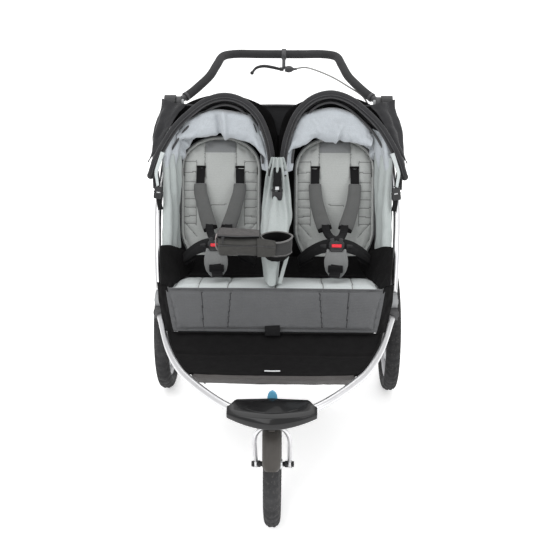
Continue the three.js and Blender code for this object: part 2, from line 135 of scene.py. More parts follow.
# ---------------------------------------------------------------- Materials
class Finish:
    """A Principled material that is built up node by node, on object coordinates."""

    def __init__(self, name, color, roughness, metallic=0.0, sheen=0.0, coat=0.0, specular=0.5):
        self.material = bpy.data.materials.new(name)
        self.material.use_nodes = True
        self.tree = self.material.node_tree
        self.shader = self.tree.nodes["Principled BSDF"]
        self.color = color
        inputs = self.shader.inputs
        inputs["Base Color"].default_value = (*color, 1)
        inputs["Roughness"].default_value = roughness
        inputs["Metallic"].default_value = metallic
        inputs["Specular IOR Level"].default_value = specular
        inputs["Sheen Weight"].default_value = sheen
        inputs["Sheen Roughness"].default_value = 0.45
        inputs["Coat Weight"].default_value = coat
        self.place = self.tree.nodes.new("ShaderNodeTexCoord").outputs["Object"]
        self.bump = None

    def node(self, kind, **inputs):
        made = self.tree.nodes.new(kind)
        for key, value in inputs.items():
            socket = made.inputs[int(key[1:])] if key[0] == "i" and key[1:].isdigit() else made.inputs[key]
            if isinstance(value, bpy.types.NodeSocket):
                self.tree.links.new(value, socket)
            else:
                socket.default_value = value
        return made

    def math(self, operation, a, b=0.0):
        made = self.node("ShaderNodeMath", i0=a, i1=b)
        made.operation = operation
        return made.outputs[0]

    def noise(self, scale, detail=2.0, place=None):
        return self.node("ShaderNodeTexNoise", Vector=place or self.place, Scale=scale, Detail=detail).outputs["Fac"]

    def stretched(self, x, y, z):
        made = self.node("ShaderNodeMapping", Vector=self.place)
        made.inputs["Scale"].default_value = (x, y, z)
        return made.outputs[0]

    def spread(self, value, low, high, to_low, to_high):
        made = self.node("ShaderNodeMapRange", Value=value)
        for key, number in zip(("From Min", "From Max", "To Min", "To Max"), (low, high, to_low, to_high)):
            made.inputs[key].default_value = number
        return made.outputs[0]

    def tint(self, factor, other):
        """The colour so far turns to the other colour where the factor is 1."""
        mix = self.node("ShaderNodeMix")
        mix.data_type = "RGBA"
        mix.clamp_factor = True
        self.tree.links.new(factor, mix.inputs[0])
        base = self.shader.inputs["Base Color"]
        if base.links:
            self.tree.links.new(base.links[0].from_socket, mix.inputs[6])
        else:
            mix.inputs[6].default_value = (*self.color, 1)
        mix.inputs[7].default_value = (*other, 1)
        self.tree.links.new(mix.outputs[2], base)

    def rough(self, factor):
        self.tree.links.new(factor, self.shader.inputs["Roughness"])

    def relief(self, height, distance, strength=1.0):
        made = self.node("ShaderNodeBump", Height=height, Distance=distance, Strength=strength)
        if self.bump:
            self.tree.links.new(self.bump, made.inputs["Normal"])
        self.bump = made.outputs[0]
        self.tree.links.new(self.bump, self.shader.inputs["Normal"])

    def waves(self, pitch, axis):
        made = self.node("ShaderNodeTexWave", Vector=self.place, Scale=0.31416 / pitch)
        made.wave_type = "BANDS"
        made.bands_direction = axis
        return made.outputs["Fac"]


def darker(color, share):
    return tuple(c * share for c in color)


def fabric(name, color, pitch=0.0016, sheen=0.25, wrinkle=0.0018, contrast=0.8, roughness=0.88, specular=0.3):
    f = Finish(name, color, roughness, sheen=sheen, specular=specular)
    weave = f.math("ADD", f.math("ADD", f.waves(pitch, "X"), f.waves(pitch, "Y")), f.waves(pitch, "Z"))
    f.tint(f.spread(f.noise(5.0, 3.0), 0.35, 0.7, 0.0, 0.5), darker(color, contrast))
    f.tint(f.spread(f.noise(620.0, 1.0), 0.4, 0.75, 0.0, 0.75), darker(color, 0.72))
    f.tint(f.spread(weave, 0.2, 1.4, 0.4, 0.0), darker(color, 0.6))
    f.rough(f.spread(f.noise(40.0), 0.3, 0.7, roughness - 0.08, min(1.0, roughness + 0.08)))
    f.relief(f.noise(16.0, 3.0), wrinkle * 2, 0.5)
    f.relief(f.noise(70.0, 2.0), wrinkle * 0.5, 0.4)
    f.relief(weave, pitch * 0.22, 0.6)
    return f.material


def net(name, color, pitch=0.0036):
    """Knitted mesh: rows of small cells."""
    f = Finish(name, color, 0.85, sheen=0.02, specular=0.1)
    cells = f.node("ShaderNodeTexVoronoi", Vector=f.place, Scale=1.0 / pitch, Randomness=0.25).outputs["Distance"]
    f.tint(f.spread(cells, 0.12, 0.4, 0.9, 0.0), darker(color, 0.25))
    f.tint(f.spread(f.noise(6.0, 3.0), 0.4, 0.7, 0.0, 0.6), tuple(c * 1.9 for c in color))
    f.relief(f.noise(18.0, 3.0), 0.003, 0.5)
    f.relief(cells, 0.0007, 0.8)
    return f.material


def webbing(name, color):
    f = Finish(name, color, 0.75, sheen=0.02, specular=0.1)
    ribs = f.math("ADD", f.waves(0.0022, "X"), f.waves(0.0022, "Z"))
    f.tint(f.spread(ribs, 0.5, 1.6, 0.0, 0.5), tuple(c * 2.2 for c in color))
    f.relief(ribs, 0.0006, 0.7)
    f.relief(f.noise(900.0), 0.0002, 0.5)
    return f.material


def moulded(name, color, roughness=0.45, grain=0.00016, coat=0.0, wear=0.35):
    """Moulded plastic with a fine spark texture, a little dust and paler edges."""
    f = Finish(name, color, roughness, coat=coat, specular=0.22)
    f.tint(f.spread(f.noise(9.0, 4.0), 0.45, 0.75, 0.0, wear), tuple(c * 1.8 + 0.01 for c in color))
    edge = f.tree.nodes.new("ShaderNodeNewGeometry").outputs["Pointiness"]
    f.tint(f.spread(edge, 0.52, 0.62, 0.0, wear), tuple(c * 2.2 + 0.02 for c in color))
    f.rough(f.spread(f.noise(55.0, 3.0), 0.3, 0.75, roughness * 0.85, min(1.0, roughness * 1.25)))
    f.relief(f.noise(1500.0, 1.0), grain, 0.7)
    return f.material


def metal(name, color, roughness=0.3):
    """Satin anodised tube: fine lengthwise draw marks and soft smudges."""
    f = Finish(name, color, roughness, metallic=1.0)
    f.tint(f.spread(f.noise(7.0, 3.0), 0.4, 0.75, 0.0, 0.35), darker(color, 0.86))
    marks = f.noise(1.0, 2.0, f.stretched(900.0, 60.0, 60.0))
    f.rough(f.spread(f.math("ADD", marks, f.noise(30.0, 3.0)), 0.7, 1.3, roughness * 0.8, roughness * 1.3))
    f.relief(marks, 0.00008, 0.5)
    return f.material


def foam(name, color):
    f = Finish(name, color, 0.9, sheen=0.05, specular=0.15)
    cells = f.node("ShaderNodeTexVoronoi", Vector=f.place, Scale=420.0).outputs["Distance"]
    f.tint(f.spread(f.noise(14.0, 3.0), 0.4, 0.7, 0.0, 0.5), tuple(c * 1.5 for c in color))
    f.tint(f.spread(cells, 0.1, 0.5, 0.5, 0.0), darker(color, 0.6))
    f.relief(cells, 0.0005, 0.5)
    return f.material


def rubber(name, color):
    f = Finish(name, color, 0.8, specular=0.15)
    f.tint(f.spread(f.noise(11.0, 4.0), 0.42, 0.72, 0.0, 0.7), tuple(c * 1.7 + 0.006 for c in color))
    f.tint(f.spread(f.noise(180.0, 2.0), 0.55, 0.8, 0.0, 0.5), (0.10, 0.095, 0.09))
    f.rough(f.spread(f.noise(60.0, 3.0), 0.3, 0.7, 0.66, 0.95))
    f.relief(f.noise(700.0), 0.0003, 0.6)
    return f.material


SILVER = metal("satin_aluminium", (0.60, 0.60, 0.61), 0.33)
STEEL = metal("spoke_steel", (0.55, 0.56, 0.57), 0.3)
RIM = metal("rim_aluminium", (0.30, 0.30, 0.31), 0.38)
PLASTIC = moulded("black_plastic", (0.02, 0.02, 0.021))
DARK = moulded("charcoal_plastic", (0.05, 0.05, 0.052), 0.5)
GLOSS = moulded("gloss_black", (0.005, 0.005, 0.0055), 0.18, 0.00002, coat=0.22, wear=0.05)
HINGE_GREY = moulded("hinge_grey", (0.24, 0.245, 0.25), 0.42)
FENDER_BROWN = moulded("fender_plastic", (0.05, 0.046, 0.042), 0.42)
BLUE = moulded("lock_blue", (0.085, 0.27, 0.40), 0.3, 0.00004, coat=0.3, wear=0.15)
RED = moulded("buckle_red", (0.62, 0.015, 0.03), 0.3, 0.00003, coat=0.3, wear=0.1)
FOAM = foam("grip_foam", (0.03, 0.03, 0.031))
TYRE = rubber("tyre_rubber", (0.026, 0.026, 0.027))
JACKET = moulded("cable_jacket", (0.20, 0.20, 0.195), 0.5, wear=0.2)
LIGHT = fabric("light_grey_fabric", (0.43, 0.445, 0.435))
SIDE = fabric("side_grey_fabric", (0.40, 0.435, 0.43), wrinkle=0.0026)
# Painted shadow: a darker copy of the light grey fabric for the top middle of each seat back, where the hood lining
# casts its shade.
PAINTED_SHADOW = fabric("painted_shadow_grey_fabric", (0.235, 0.245, 0.25))
CROTCH = fabric("crotch_pad_grey", (0.20, 0.205, 0.205))
LID = fabric("tray_lid_brown", (0.058, 0.053, 0.052), pitch=0.0014, sheen=0.12, roughness=0.7, specular=0.2)
CUP = fabric("cup_holder_charcoal", (0.036, 0.036, 0.036), pitch=0.0014, sheen=0.12, roughness=0.7, specular=0.2)
LOOP = fabric("tray_loop_taupe", (0.27, 0.235, 0.23), pitch=0.0012)
PALE = fabric("pale_grey_fabric", (0.50, 0.535, 0.535))
FLAP = fabric("hood_lining_grey", (0.43, 0.46, 0.49), pitch=0.0011, sheen=0.4, wrinkle=0.003, roughness=0.6)
MID = fabric("dark_grey_fabric", (0.105, 0.106, 0.11))
PAD = fabric("strap_pad_grey", (0.098, 0.10, 0.099), pitch=0.0014)
HOOD = fabric("hood_charcoal", (0.024, 0.024, 0.026), pitch=0.0012, sheen=0.12, roughness=0.62, specular=0.2)
CUP_EDGE = fabric("cup_rim_binding", (0.125, 0.122, 0.120), pitch=0.0011, roughness=0.6)
TRAY = fabric("tray_charcoal", (0.050, 0.049, 0.046), pitch=0.0014, sheen=0.12, roughness=0.7, specular=0.2)
BINDING = fabric("edge_binding", (0.060, 0.060, 0.063), pitch=0.0011, sheen=0.1, roughness=0.6, specular=0.2)
BLACK = fabric("black_fabric", (0.0065, 0.0062, 0.0065), pitch=0.0013, sheen=0.01, roughness=0.85, specular=0.09)
CALF = fabric("calf_panel_grey", (0.098, 0.100, 0.104))
CALF_SEAM = fabric("calf_seam", (0.028, 0.028, 0.03), pitch=0.0009)
SEAM = fabric("sewn_seam", (0.21, 0.215, 0.21), pitch=0.0009, sheen=0.1)
NET = net("black_net", (0.011, 0.011, 0.011))
WEB = webbing("black_webbing", (0.007, 0.007, 0.0075))
THREAD = fabric("seam_thread", (0.10, 0.105, 0.105), pitch=0.0009)
TRIM = fabric("footwell_trim", (0.085, 0.08, 0.078), pitch=0.0012)
# Pale coated plastic: the real reflective label on the footwell, and a painted highlight on the centre hood webbing.
REFLECTOR_AND_HIGHLIGHT = moulded("reflective_strip_and_painted_highlight", (0.5, 0.51, 0.52), 0.25, coat=0.2, wear=0.1)


# ---------------------------------------------------------------- Mesh helpers
def piece(name, points, faces, material, body, slot=None, replaces=(), smooth=True):
    mesh = bpy.data.meshes.new(name)
    mesh.from_pydata([tuple(p) for p in points], [], faces)
    made = bpy.data.objects.new(name, mesh)
    bpy.context.scene.collection.objects.link(made)
    tidy(made)
    for m in material if isinstance(material, (list, tuple)) else [material]:
        mesh.materials.append(m)
    for polygon in mesh.polygons:
        polygon.use_smooth = smooth
    if body:
        place(made, body, slot, replaces)
    return made


def tidy(made):
    """Faces out, no doubles."""
    work = bmesh.new()
    work.from_mesh(made.data)
    bmesh.ops.remove_doubles(work, verts=work.verts, dist=1e-6)
    bmesh.ops.recalc_face_normals(work, faces=work.faces)
    work.to_mesh(made.data)
    work.free()


def place(made, body, slot=None, replaces=()):
    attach(made, body)
    if replaces:
        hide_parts(*replaces)
    return made


def data_of(made):
    mesh = made.data
    return [v.co.copy() for v in mesh.vertices], [tuple(p.vertices) for p in mesh.polygons]


def merge(*parts):
    """One list of points and faces from several."""
    points, faces = [], []
    for p, f in parts:
        start = len(points)
        points += [Vector(q) for q in p]
        faces += [tuple(i + start for i in face) for face in f]
    return points, faces


def flipped(part):
    points, faces = part
    return [Vector((-p[0], p[1], p[2])) for p in points], [tuple(reversed(f)) for f in faces]


def pair(name, part, material, body, slot=None, replaces=(), smooth=True):
    """The right-hand piece and its mirror image. "@" in a body's or node's name stands for the side."""
    made = []
    for side, sign in SIDES:
        points, faces = part if sign > 0 else flipped(part)
        made.append(piece(
            f"{name}_{side}", points, faces, material, body.replace("@", side), slot,
            [n.replace("@", side) for n in replaces], smooth,
        ))
    return made


def bevelled(made, width=0.0012, segments=2):
    m = made.modifiers.new("bevel", "BEVEL")
    m.width = width
    m.segments = segments
    m.limit_method = "ANGLE"
    m.angle_limit = math.radians(35)
    return made


def curve(points, n):
    """n + 1 evenly spaced points along a centripetal Catmull-Rom curve."""
    p = [Vector(q) for q in points]
    p = [2 * p[0] - p[1], *p, 2 * p[-1] - p[-2]]
    fine = []
    for a, b, c, d in zip(p, p[1:], p[2:], p[3:]):
        t1 = max((b - a).length, 1e-6) ** 0.5
        t2 = t1 + max((c - b).length, 1e-6) ** 0.5
        t3 = t2 + max((d - c).length, 1e-6) ** 0.5
        for k in range(20):
            t = t1 + (t2 - t1) * k / 20
            a1 = a * ((t1 - t) / t1) + b * (t / t1)
            a2 = b * ((t2 - t) / (t2 - t1)) + c * ((t - t1) / (t2 - t1))
            a3 = c * ((t3 - t) / (t3 - t2)) + d * ((t - t2) / (t3 - t2))
            b1 = a1 * ((t2 - t) / t2) + a2 * (t / t2)
            b2 = a2 * ((t3 - t) / (t3 - t1)) + a3 * ((t - t1) / (t3 - t1))
            fine.append(b1 * ((t2 - t) / (t2 - t1)) + b2 * ((t - t1) / (t2 - t1)))
    fine.append(p[-2])
    return even(fine, n)


def even(line, n):
    xyz = np.array([tuple(q) for q in line])
    along = np.concatenate([[0], np.cumsum(np.linalg.norm(np.diff(xyz, axis=0), axis=1))])
    at = np.linspace(0, along[-1], n + 1)
    return [Vector(q) for q in np.stack([np.interp(at, along, xyz[:, k]) for k in range(3)], 1)]


def axes_along(path, up=None):
    """(side, normal) at each point: across the path, and out of the band's face. up may be a function of the share."""
    made, side = [], None
    for i in range(len(path)):
        t = (path[min(i + 1, len(path) - 1)] - path[max(i - 1, 0)]).normalized()
        if up is None:
            side = side or (Vector((0, 0, 1)) if abs(t.z) < 0.9 else Vector((1, 0, 0)))
            side = (side - t * side.dot(t)).normalized()
            made.append((side, t.cross(side)))
        else:
            u = Vector(up(i / (len(path) - 1)) if callable(up) else up)
            s = t.cross(u).normalized()
            made.append((s, s.cross(t)))
    return made


def stitched(rings, closed_rings=False):
    """Faces of a loft through equal rings, its ends closed by a fan."""
    n, points, faces = len(rings[0]), [], []
    for ring in rings:
        points += ring
    count = len(rings)
    for i in range(count if closed_rings else count - 1):
        a, b = i * n, ((i + 1) % count) * n
        faces += [(a + j, a + (j + 1) % n, b + (j + 1) % n, b + j) for j in range(n)]
    if not closed_rings:
        for start, ring, order in ((0, rings[0], -1), ((count - 1) * n, rings[-1], 1)):
            centre = len(points)
            points.append(sum((Vector(q) for q in ring), Vector()) / n)
            faces += [
                (start + j, start + (j + 1) % n, centre) if order > 0 else (start + (j + 1) % n, start + j, centre)
                for j in range(n)
            ]
    return points, faces


def tube(points, radius, n=48, sides=16, up=None, closed=False, ends=True):
    """A swept tube. radius is a number, (side, normal) half widths, or a function of the share that gives them."""
    path = curve(points, n) if len(points) > 2 else even(points, n)
    rings = []
    for i, (p, (s, nrm)) in enumerate(zip(path, axes_along(path, up))):
        r = radius(i / n) if callable(radius) else radius
        a, b = r if isinstance(r, tuple) else (r, r)
        rings.append([
            p + s * (a * math.cos(2 * math.pi * k / sides)) + nrm * (b * math.sin(2 * math.pi * k / sides))
            for k in range(sides)
        ])
    if ends and not closed:
        rings = [shrunk(rings[0], 0.8), *nudge(rings), shrunk(rings[-1], 0.8)]
    return stitched(rings, closed)


def nudge(rings):
    """The end rings move in a little, so that a smaller ring can round the ends."""
    first, second = rings[0], rings[1]
    last, before = rings[-1], rings[-2]
    share = 0.15
    head = [a.lerp(b, share) for a, b in zip(first, second)]
    tail = [a.lerp(b, share) for a, b in zip(last, before)]
    return [head, *rings[1:-1], tail]


def shrunk(ring, share):
    centre = sum(ring, Vector()) / len(ring)
    return [centre + (p - centre) * share for p in ring]


def band(points, width, thick, up, n=24, corner=0.35, taper=None):
    """Flat webbing: a rounded rectangle swept along a path. up is the direction that its face looks."""
    path = curve(points, n) if len(points) > 2 else even(points, n)
    outline = []
    for sx, sy in ((1, 1), (-1, 1), (-1, -1), (1, -1)):
        first, second = ((1, 1 - corner), (1 - corner * thick / width, 1))
        corners = [first, second] if sx * sy > 0 else [second, first]
        outline += [(sx * a, sy * b) for a, b in corners]
    rings = []
    for i, (p, (s, nrm)) in enumerate(zip(path, axes_along(path, up))):
        k = taper(i / n) if taper else 1.0
        rings.append([p + s * (a * width * k / 2) + nrm * (b * thick / 2) for a, b in outline])
    return stitched(rings)


def lathe(profile, sides=48, centre=(0, 0, 0), closed=True):
    """Turned around X from (radius, x) pairs."""
    c = Vector(centre)
    rings = []
    for k in range(sides):
        a = 2 * math.pi * k / sides
        rings.append([c + Vector((x, r * math.cos(a), r * math.sin(a))) for r, x in profile])
    n, points, faces = len(profile), [p for ring in rings for p in ring], []
    for k in range(sides):
        a, b = k * n, ((k + 1) % sides) * n
        faces += [(a + j, a + (j + 1) % n, b + (j + 1) % n, b + j) for j in range(n if closed else n - 1)]
    return points, faces


def block(lo, hi, soft=0.002, cuts=2):
    """A box with rounded edges."""
    work = bmesh.new()
    bmesh.ops.create_cube(work, size=1)
    size, mid = Vector(hi) - Vector(lo), (Vector(hi) + Vector(lo)) / 2
    for v in work.verts:
        v.co = Vector((v.co.x * size.x, v.co.y * size.y, v.co.z * size.z)) + mid
    bmesh.ops.bevel(work, geom=work.edges[:], offset=min(soft, min(size) * 0.45), segments=cuts, profile=0.6,
                    affect="EDGES")
    return taken(work)


def hull(points, soft=0.002, cuts=2):
    work = bmesh.new()
    for p in points:
        work.verts.new(p)
    bmesh.ops.convex_hull(work, input=work.verts)
    bmesh.ops.dissolve_limit(work, angle_limit=math.radians(4), verts=work.verts, edges=work.edges)
    if soft:
        bmesh.ops.bevel(work, geom=work.edges[:], offset=soft, segments=cuts, profile=0.6, affect="EDGES")
    return taken(work)


def taken(work):
    work.verts.index_update()
    part = [v.co.copy() for v in work.verts], [tuple(v.index for v in f.verts) for f in work.faces]
    work.free()
    return part


def sheet_grid(at, nu, nv, thick=0.002, wrap=False):
    """A thin closed sheet from a surface at(u, v), with its back a thickness behind."""
    front = [[Vector(at(i / nu, j / nv)) for i in range(nu + (0 if wrap else 1))] for j in range(nv + 1)]
    cols, rows = len(front[0]), nv + 1

    def normal(j, i):
        right = front[j][(i + 1) % cols if wrap else min(i + 1, cols - 1)]
        left = front[j][(i - 1) % cols if wrap else max(i - 1, 0)]
        return (right - left).cross(front[min(j + 1, rows - 1)][i] - front[max(j - 1, 0)][i]).normalized()

    points = [p for row in front for p in row]
    points += [front[j][i] + normal(j, i) * thick for j in range(rows) for i in range(cols)]
    back = rows * cols
    faces = []
    for j in range(rows - 1):
        for i in range(cols if wrap else cols - 1):
            a, b = j * cols + i, j * cols + (i + 1) % cols
            c, d = b + cols, a + cols
            faces += [(a, b, c, d), (d + back, c + back, b + back, a + back)]
    edge = []
    if not wrap:
        edge += [(j * cols, (j + 1) * cols) for j in range(rows - 1)]
        edge += [((j + 1) * cols + cols - 1, j * cols + cols - 1) for j in range(rows - 1)]
    edge += [(i, (i + 1) % cols) for i in range(cols if wrap else cols - 1)]
    top = (rows - 1) * cols
    edge += [(top + (i + 1) % cols, top + i) for i in range(cols if wrap else cols - 1)]
    faces += [(a, b, b + back, a + back) for a, b in edge]
    return points, faces


def mix(a, b, t):
    return Vector(a) * (1 - t) + Vector(b) * t


def smooth_step(t):
    t = max(0.0, min(1.0, t))
    return t * t * (3 - 2 * t)


def ripple(x, y, z, scale=12.0, seed=0.0):
    return noise.noise(Vector((x * scale + seed, y * scale + seed * 1.7, z * scale - seed)))


# ---------------------------------------------------------------- Cloth
def puffed(part, voxel=0.005, pressure=4.0, cap=0.006, frames=20):
    """A stuffed form: remeshed, blown up as cloth, its moves capped, and subdivided once."""
    mesh = bpy.data.meshes.new("puff")
    mesh.from_pydata([tuple(p) for p in part[0]], [], part[1])
    made = bpy.data.objects.new("puff", mesh)
    bpy.context.scene.collection.objects.link(made)
    tidy(made)
    remesh = made.modifiers.new("remesh", "REMESH")
    remesh.mode = "VOXEL"
    remesh.voxel_size = voxel
    applied(made)
    rest = np.array([v.co for v in made.data.vertices])
    cloth = made.modifiers.new("cloth", "CLOTH")
    settings = cloth.settings
    settings.quality = 5
    settings.mass = 0.3
    settings.tension_stiffness = settings.compression_stiffness = 12
    settings.bending_stiffness = 0.4
    settings.use_pressure = True
    settings.uniform_pressure_force = pressure
    settings.effector_weights.gravity = 0.0
    cloth.point_cache.frame_start, cloth.point_cache.frame_end = 1, frames
    scene = bpy.context.scene
    for f in range(1, frames + 1):
        scene.frame_set(f)
    found = made.evaluated_get(bpy.context.evaluated_depsgraph_get())
    moved = np.array([v.co for v in found.data.vertices])
    made.modifiers.remove(cloth)
    scene.frame_set(1)
    step = moved - rest
    length = np.linalg.norm(step, axis=1, keepdims=True)
    step *= np.minimum(1.0, cap / np.maximum(length, 1e-9))
    made.data.vertices.foreach_set("co", (rest + step).astype(np.float32).ravel())
    subdivision = made.modifiers.new("subdivision", "SUBSURF")
    subdivision.levels = 1
    applied(made)
    result = data_of(made)
    bpy.data.objects.remove(made)
    return result


def applied(made):
    """The mesh with its modifiers applied."""
    found = made.evaluated_get(bpy.context.evaluated_depsgraph_get())
    mesh = bpy.data.meshes.new_from_object(found)
    made.modifiers.clear()
    made.data = mesh


def prism(outline, low, high):
    """A closed slab: an outline of (a, b), from c = low to high, as points (a, b, c)."""
    n = len(outline)
    points = [Vector((a, b, low)) for a, b in outline] + [Vector((a, b, high)) for a, b in outline]
    faces = [tuple(range(n))[::-1], tuple(range(n, 2 * n))]
    faces += [(i, (i + 1) % n, (i + 1) % n + n, i + n) for i in range(n)]
    return points, faces


def away(xy, line):
    """The distance of many (n, 2) points from a polyline."""
    best = np.full(len(xy), 9.0)
    for a, b in zip(line, line[1:]):
        a, b = np.array(a, float), np.array(b, float)
        t = np.clip(((xy - a) @ (b - a)) / max(((b - a) ** 2).sum(), 1e-12), 0, 1)
        best = np.minimum(best, np.linalg.norm(xy - a - t[:, None] * (b - a), axis=1))
    return best


# ---------------------------------------------------------------- Frame tubes
def mm(points):
    return [tuple(c / 1000 for c in p) for p in points]


FRONT_TUBE = mm([
    [322, -43, 398], [316, -66, 396], [299.5, -136, 388], [281, -205, 380], [260, -264, 373],
    [233, -321, 366], [204, -363, 361], [157, -419, 354], [106, -469, 349], [70, -490, 347],
])
REAR_LEG = mm([[328, 46, 399], [323, 80, 385], [313, 150, 347], [305, 250, 274], [303, 335, 200]])
RISE = Vector((0, 0.551, 0.835))
FOLD = Vector((0, 0, 0.430))
UPPER_TUBE = [
    tuple(Vector((x / 1000, 0, 0)) + FOLD + RISE * (s / 1000))
    for x, s in ((330.5, 26), (338, 135), (341, 280), (331, 365), (321, 450), (317, 556.5))
]
REAR_AXLE = Vector((0.3525, 0.335, 0.200))
FRONT_AXLE = Vector((0, -0.415, 0.157))


def frame_tubes():
    pair("front_tube_detail", tube(FRONT_TUBE, 0.010, 72, 24), SILVER, "base", "frame_metal", ["front_tube_@"])
    leg = tube(REAR_LEG, 0.010, 48, 24)
    beam = lathe([(0.0, -0.322), (0.0105, -0.322), (0.012, -0.3205), (0.012, 0.3205), (0.0105, 0.322), (0.0, 0.322)],
                 40, (0, REAR_AXLE.y, REAR_AXLE.z), False)
    stub = lathe([(0.0, 0.318), (0.006, 0.318), (0.006, 0.3525), (0.0, 0.3525)], 24,
                 (0, REAR_AXLE.y, REAR_AXLE.z), False)
    collar = lathe([(0.0125, 0.288), (0.0145, 0.29), (0.0145, 0.312), (0.0125, 0.314)], 32,
                   (0, REAR_AXLE.y, REAR_AXLE.z), False)
    points, faces = merge(leg, flipped(leg), beam, stub, flipped(stub), collar, flipped(collar))
    piece("rear_frame_detail", points, faces, SILVER, "base", "frame_metal", ["rear_frame"])
    upper = tube(UPPER_TUBE, (0.010, 0.015), 64, 28, up=(0, -0.835, 0.551))
    pair("upper_tube_detail", upper, SILVER, "upper_frame", "frame_metal", ["upper_tube_@"])
    for node, material, width in (
        ("hinge_lower", DARK, 0.0025), ("hinge_upper", HINGE_GREY, 0.002), ("wheel_button", HINGE_GREY, 0.0012),
        ("adjust_button", HINGE_GREY, 0.001), ("shoulder_hub", PLASTIC, 0.003),
    ):
        for side, _ in SIDES:
            bevelled(painted(f"{node}_{side}", material), width, 3)
    rivets = [
        lathe([(0.0, 0.3398), (0.0075, 0.3398), (0.0085, 0.3405), (0.0085, 0.3418), (0.006, 0.3428), (0.0, 0.3430)],
              32, (0, y, z), False)
        for y, z in ((0.0, 0.430), (-0.028, 0.404), (0.028, 0.404))
    ]
    pair("fold_rivet", rivets[0], HINGE_GREY, "upper_frame")
    pair("hinge_screw", merge(*rivets[1:]), DARK, "base")


def painted(node, material):
    made = NODES[node]
    made.data.materials.clear()
    made.data.materials.append(material)
    for polygon in made.data.polygons:
        polygon.use_smooth = False
    return made


# ---------------------------------------------------------------- Wheels
def tyre(radius, bead, width, lugs, centre, steps):
    """A tyre whose blocks and grooves are real relief."""
    mid, half = (radius + bead) / 2, (radius - bead) / 2
    w, across = width / 2, 36
    rings = []
    for k in range(steps):
        turn = 2 * math.pi * k / steps
        ring = []
        for j in range(across):
            a = 2 * math.pi * j / across
            s, c = math.sin(a), math.cos(a)
            x = w * math.copysign(abs(c) ** 0.85, c)
            r = mid + half * math.copysign(abs(s) ** 0.9, s)
            if s > 0.25:
                depth = 0.0022 * smooth_step((s - 0.25) / 0.3)
                slant = turn * lugs + abs(x) / w * 2.6
                block = smooth_step(math.sin(slant) * 2.2 + 0.9)
                shoulder = 0.25 if 0.48 < abs(x) / w < 0.58 else 1.0
                groove = 0.0 if abs(x) < 0.0016 else 1.0
                r -= depth * (1 - block * shoulder * groove)
            elif s < -0.6:
                r = max(r, bead)
                x *= 0.82
            elif abs(s) < 0.12:
                x *= 1.0 + 0.012 * (1 if math.sin(turn * lugs * 2) > 0 else 0)
            ring.append(Vector(centre) + Vector((x, r * math.cos(turn), r * math.sin(turn))))
        rings.append(ring)
    return stitched(rings, True)


def wheel(bead, hub, spokes, centre):
    """Rim, spokes, hub and valve of one wheel."""
    c = Vector(centre)
    rim = lathe([
        (bead + 0.002, -0.0135), (bead + 0.002, -0.0115), (bead - 0.0035, -0.009), (bead - 0.0035, 0.009),
        (bead + 0.002, 0.0115), (bead + 0.002, 0.0135), (bead - 0.004, 0.0132), (bead - 0.009, 0.0098),
        (bead - 0.012, 0.006), (bead - 0.0128, 0.0), (bead - 0.012, -0.006), (bead - 0.009, -0.0098),
        (bead - 0.004, -0.0132),
    ], 120, c)
    h = hub
    core = lathe([
        (0.0, -h), (0.0115, -h), (0.013, -h + 0.0015), (0.013, -h + 0.006), (0.0195, -h + 0.009), (0.021, -h + 0.0105),
        (0.021, -h + 0.0135), (0.0195, -h + 0.0145), (0.0135, -h + 0.018), (0.0135, h - 0.018), (0.0195, h - 0.0145),
        (0.021, h - 0.0135), (0.021, h - 0.0105), (0.0195, h - 0.009), (0.013, h - 0.006), (0.013, h - 0.0015),
        (0.0115, h), (0.0, h),
    ], 48, c, False)
    wires = []
    for i in range(spokes):
        a = 2 * math.pi * i / spokes
        lean = 0.16 if (i // 2) % 2 else -0.16
        x = (h - 0.012) * (1 if i % 2 else -1)
        start = c + Vector((x, 0.0185 * math.cos(a + lean * 4), 0.0185 * math.sin(a + lean * 4)))
        end = c + Vector((0.003 * (1 if i % 2 else -1), (bead - 0.0115) * math.cos(a), (bead - 0.0115) * math.sin(a)))
        wires.append(tube([start, end], 0.0013, 4, 8))
        wires.append(tube([end.lerp(start, 0.085), end], 0.0024, 3, 8))
    valve = tube([c + Vector((0, 0, -(bead - 0.012))), c + Vector((0, 0, -(bead - 0.040)))], 0.0028, 4, 12)
    return merge(rim), merge(core, *wires, valve)


def wheels():
    rim, spokes = wheel(0.155, 0.0285, 20, REAR_AXLE)
    body = "rear_wheel_body_@"
    pair("rear_tyre_detail", tyre(0.2, 0.155, 0.044, 46, REAR_AXLE, 552), TYRE, body, "tyre_rubber", ["rear_tyre_@"])
    pair("rear_rim", rim, RIM, body, "wheel_grey", ["rear_wheel_@"])
    pair("rear_spokes", spokes, STEEL, body, "wheel_grey")
    rim, spokes = wheel(0.105, 0.025, 16, FRONT_AXLE)
    front = "front_wheel_body"
    piece("front_tyre_detail", *tyre(0.157, 0.105, 0.042, 38, FRONT_AXLE, 456), TYRE, front, "tyre_rubber",
          ["front_tyre"])
    piece("front_rim", *rim, RIM, front, "wheel_grey", ["front_wheel"])
    piece("front_spokes", *spokes, STEEL, front, "wheel_grey")


# ---------------------------------------------------------------- Fork, fender and nose
FORK_HALF = mm([
    [43, -416, 166], [43, -450, 218], [42.5, -477, 262], [38, -490, 288], [28, -494, 303], [14, -495, 310],
])


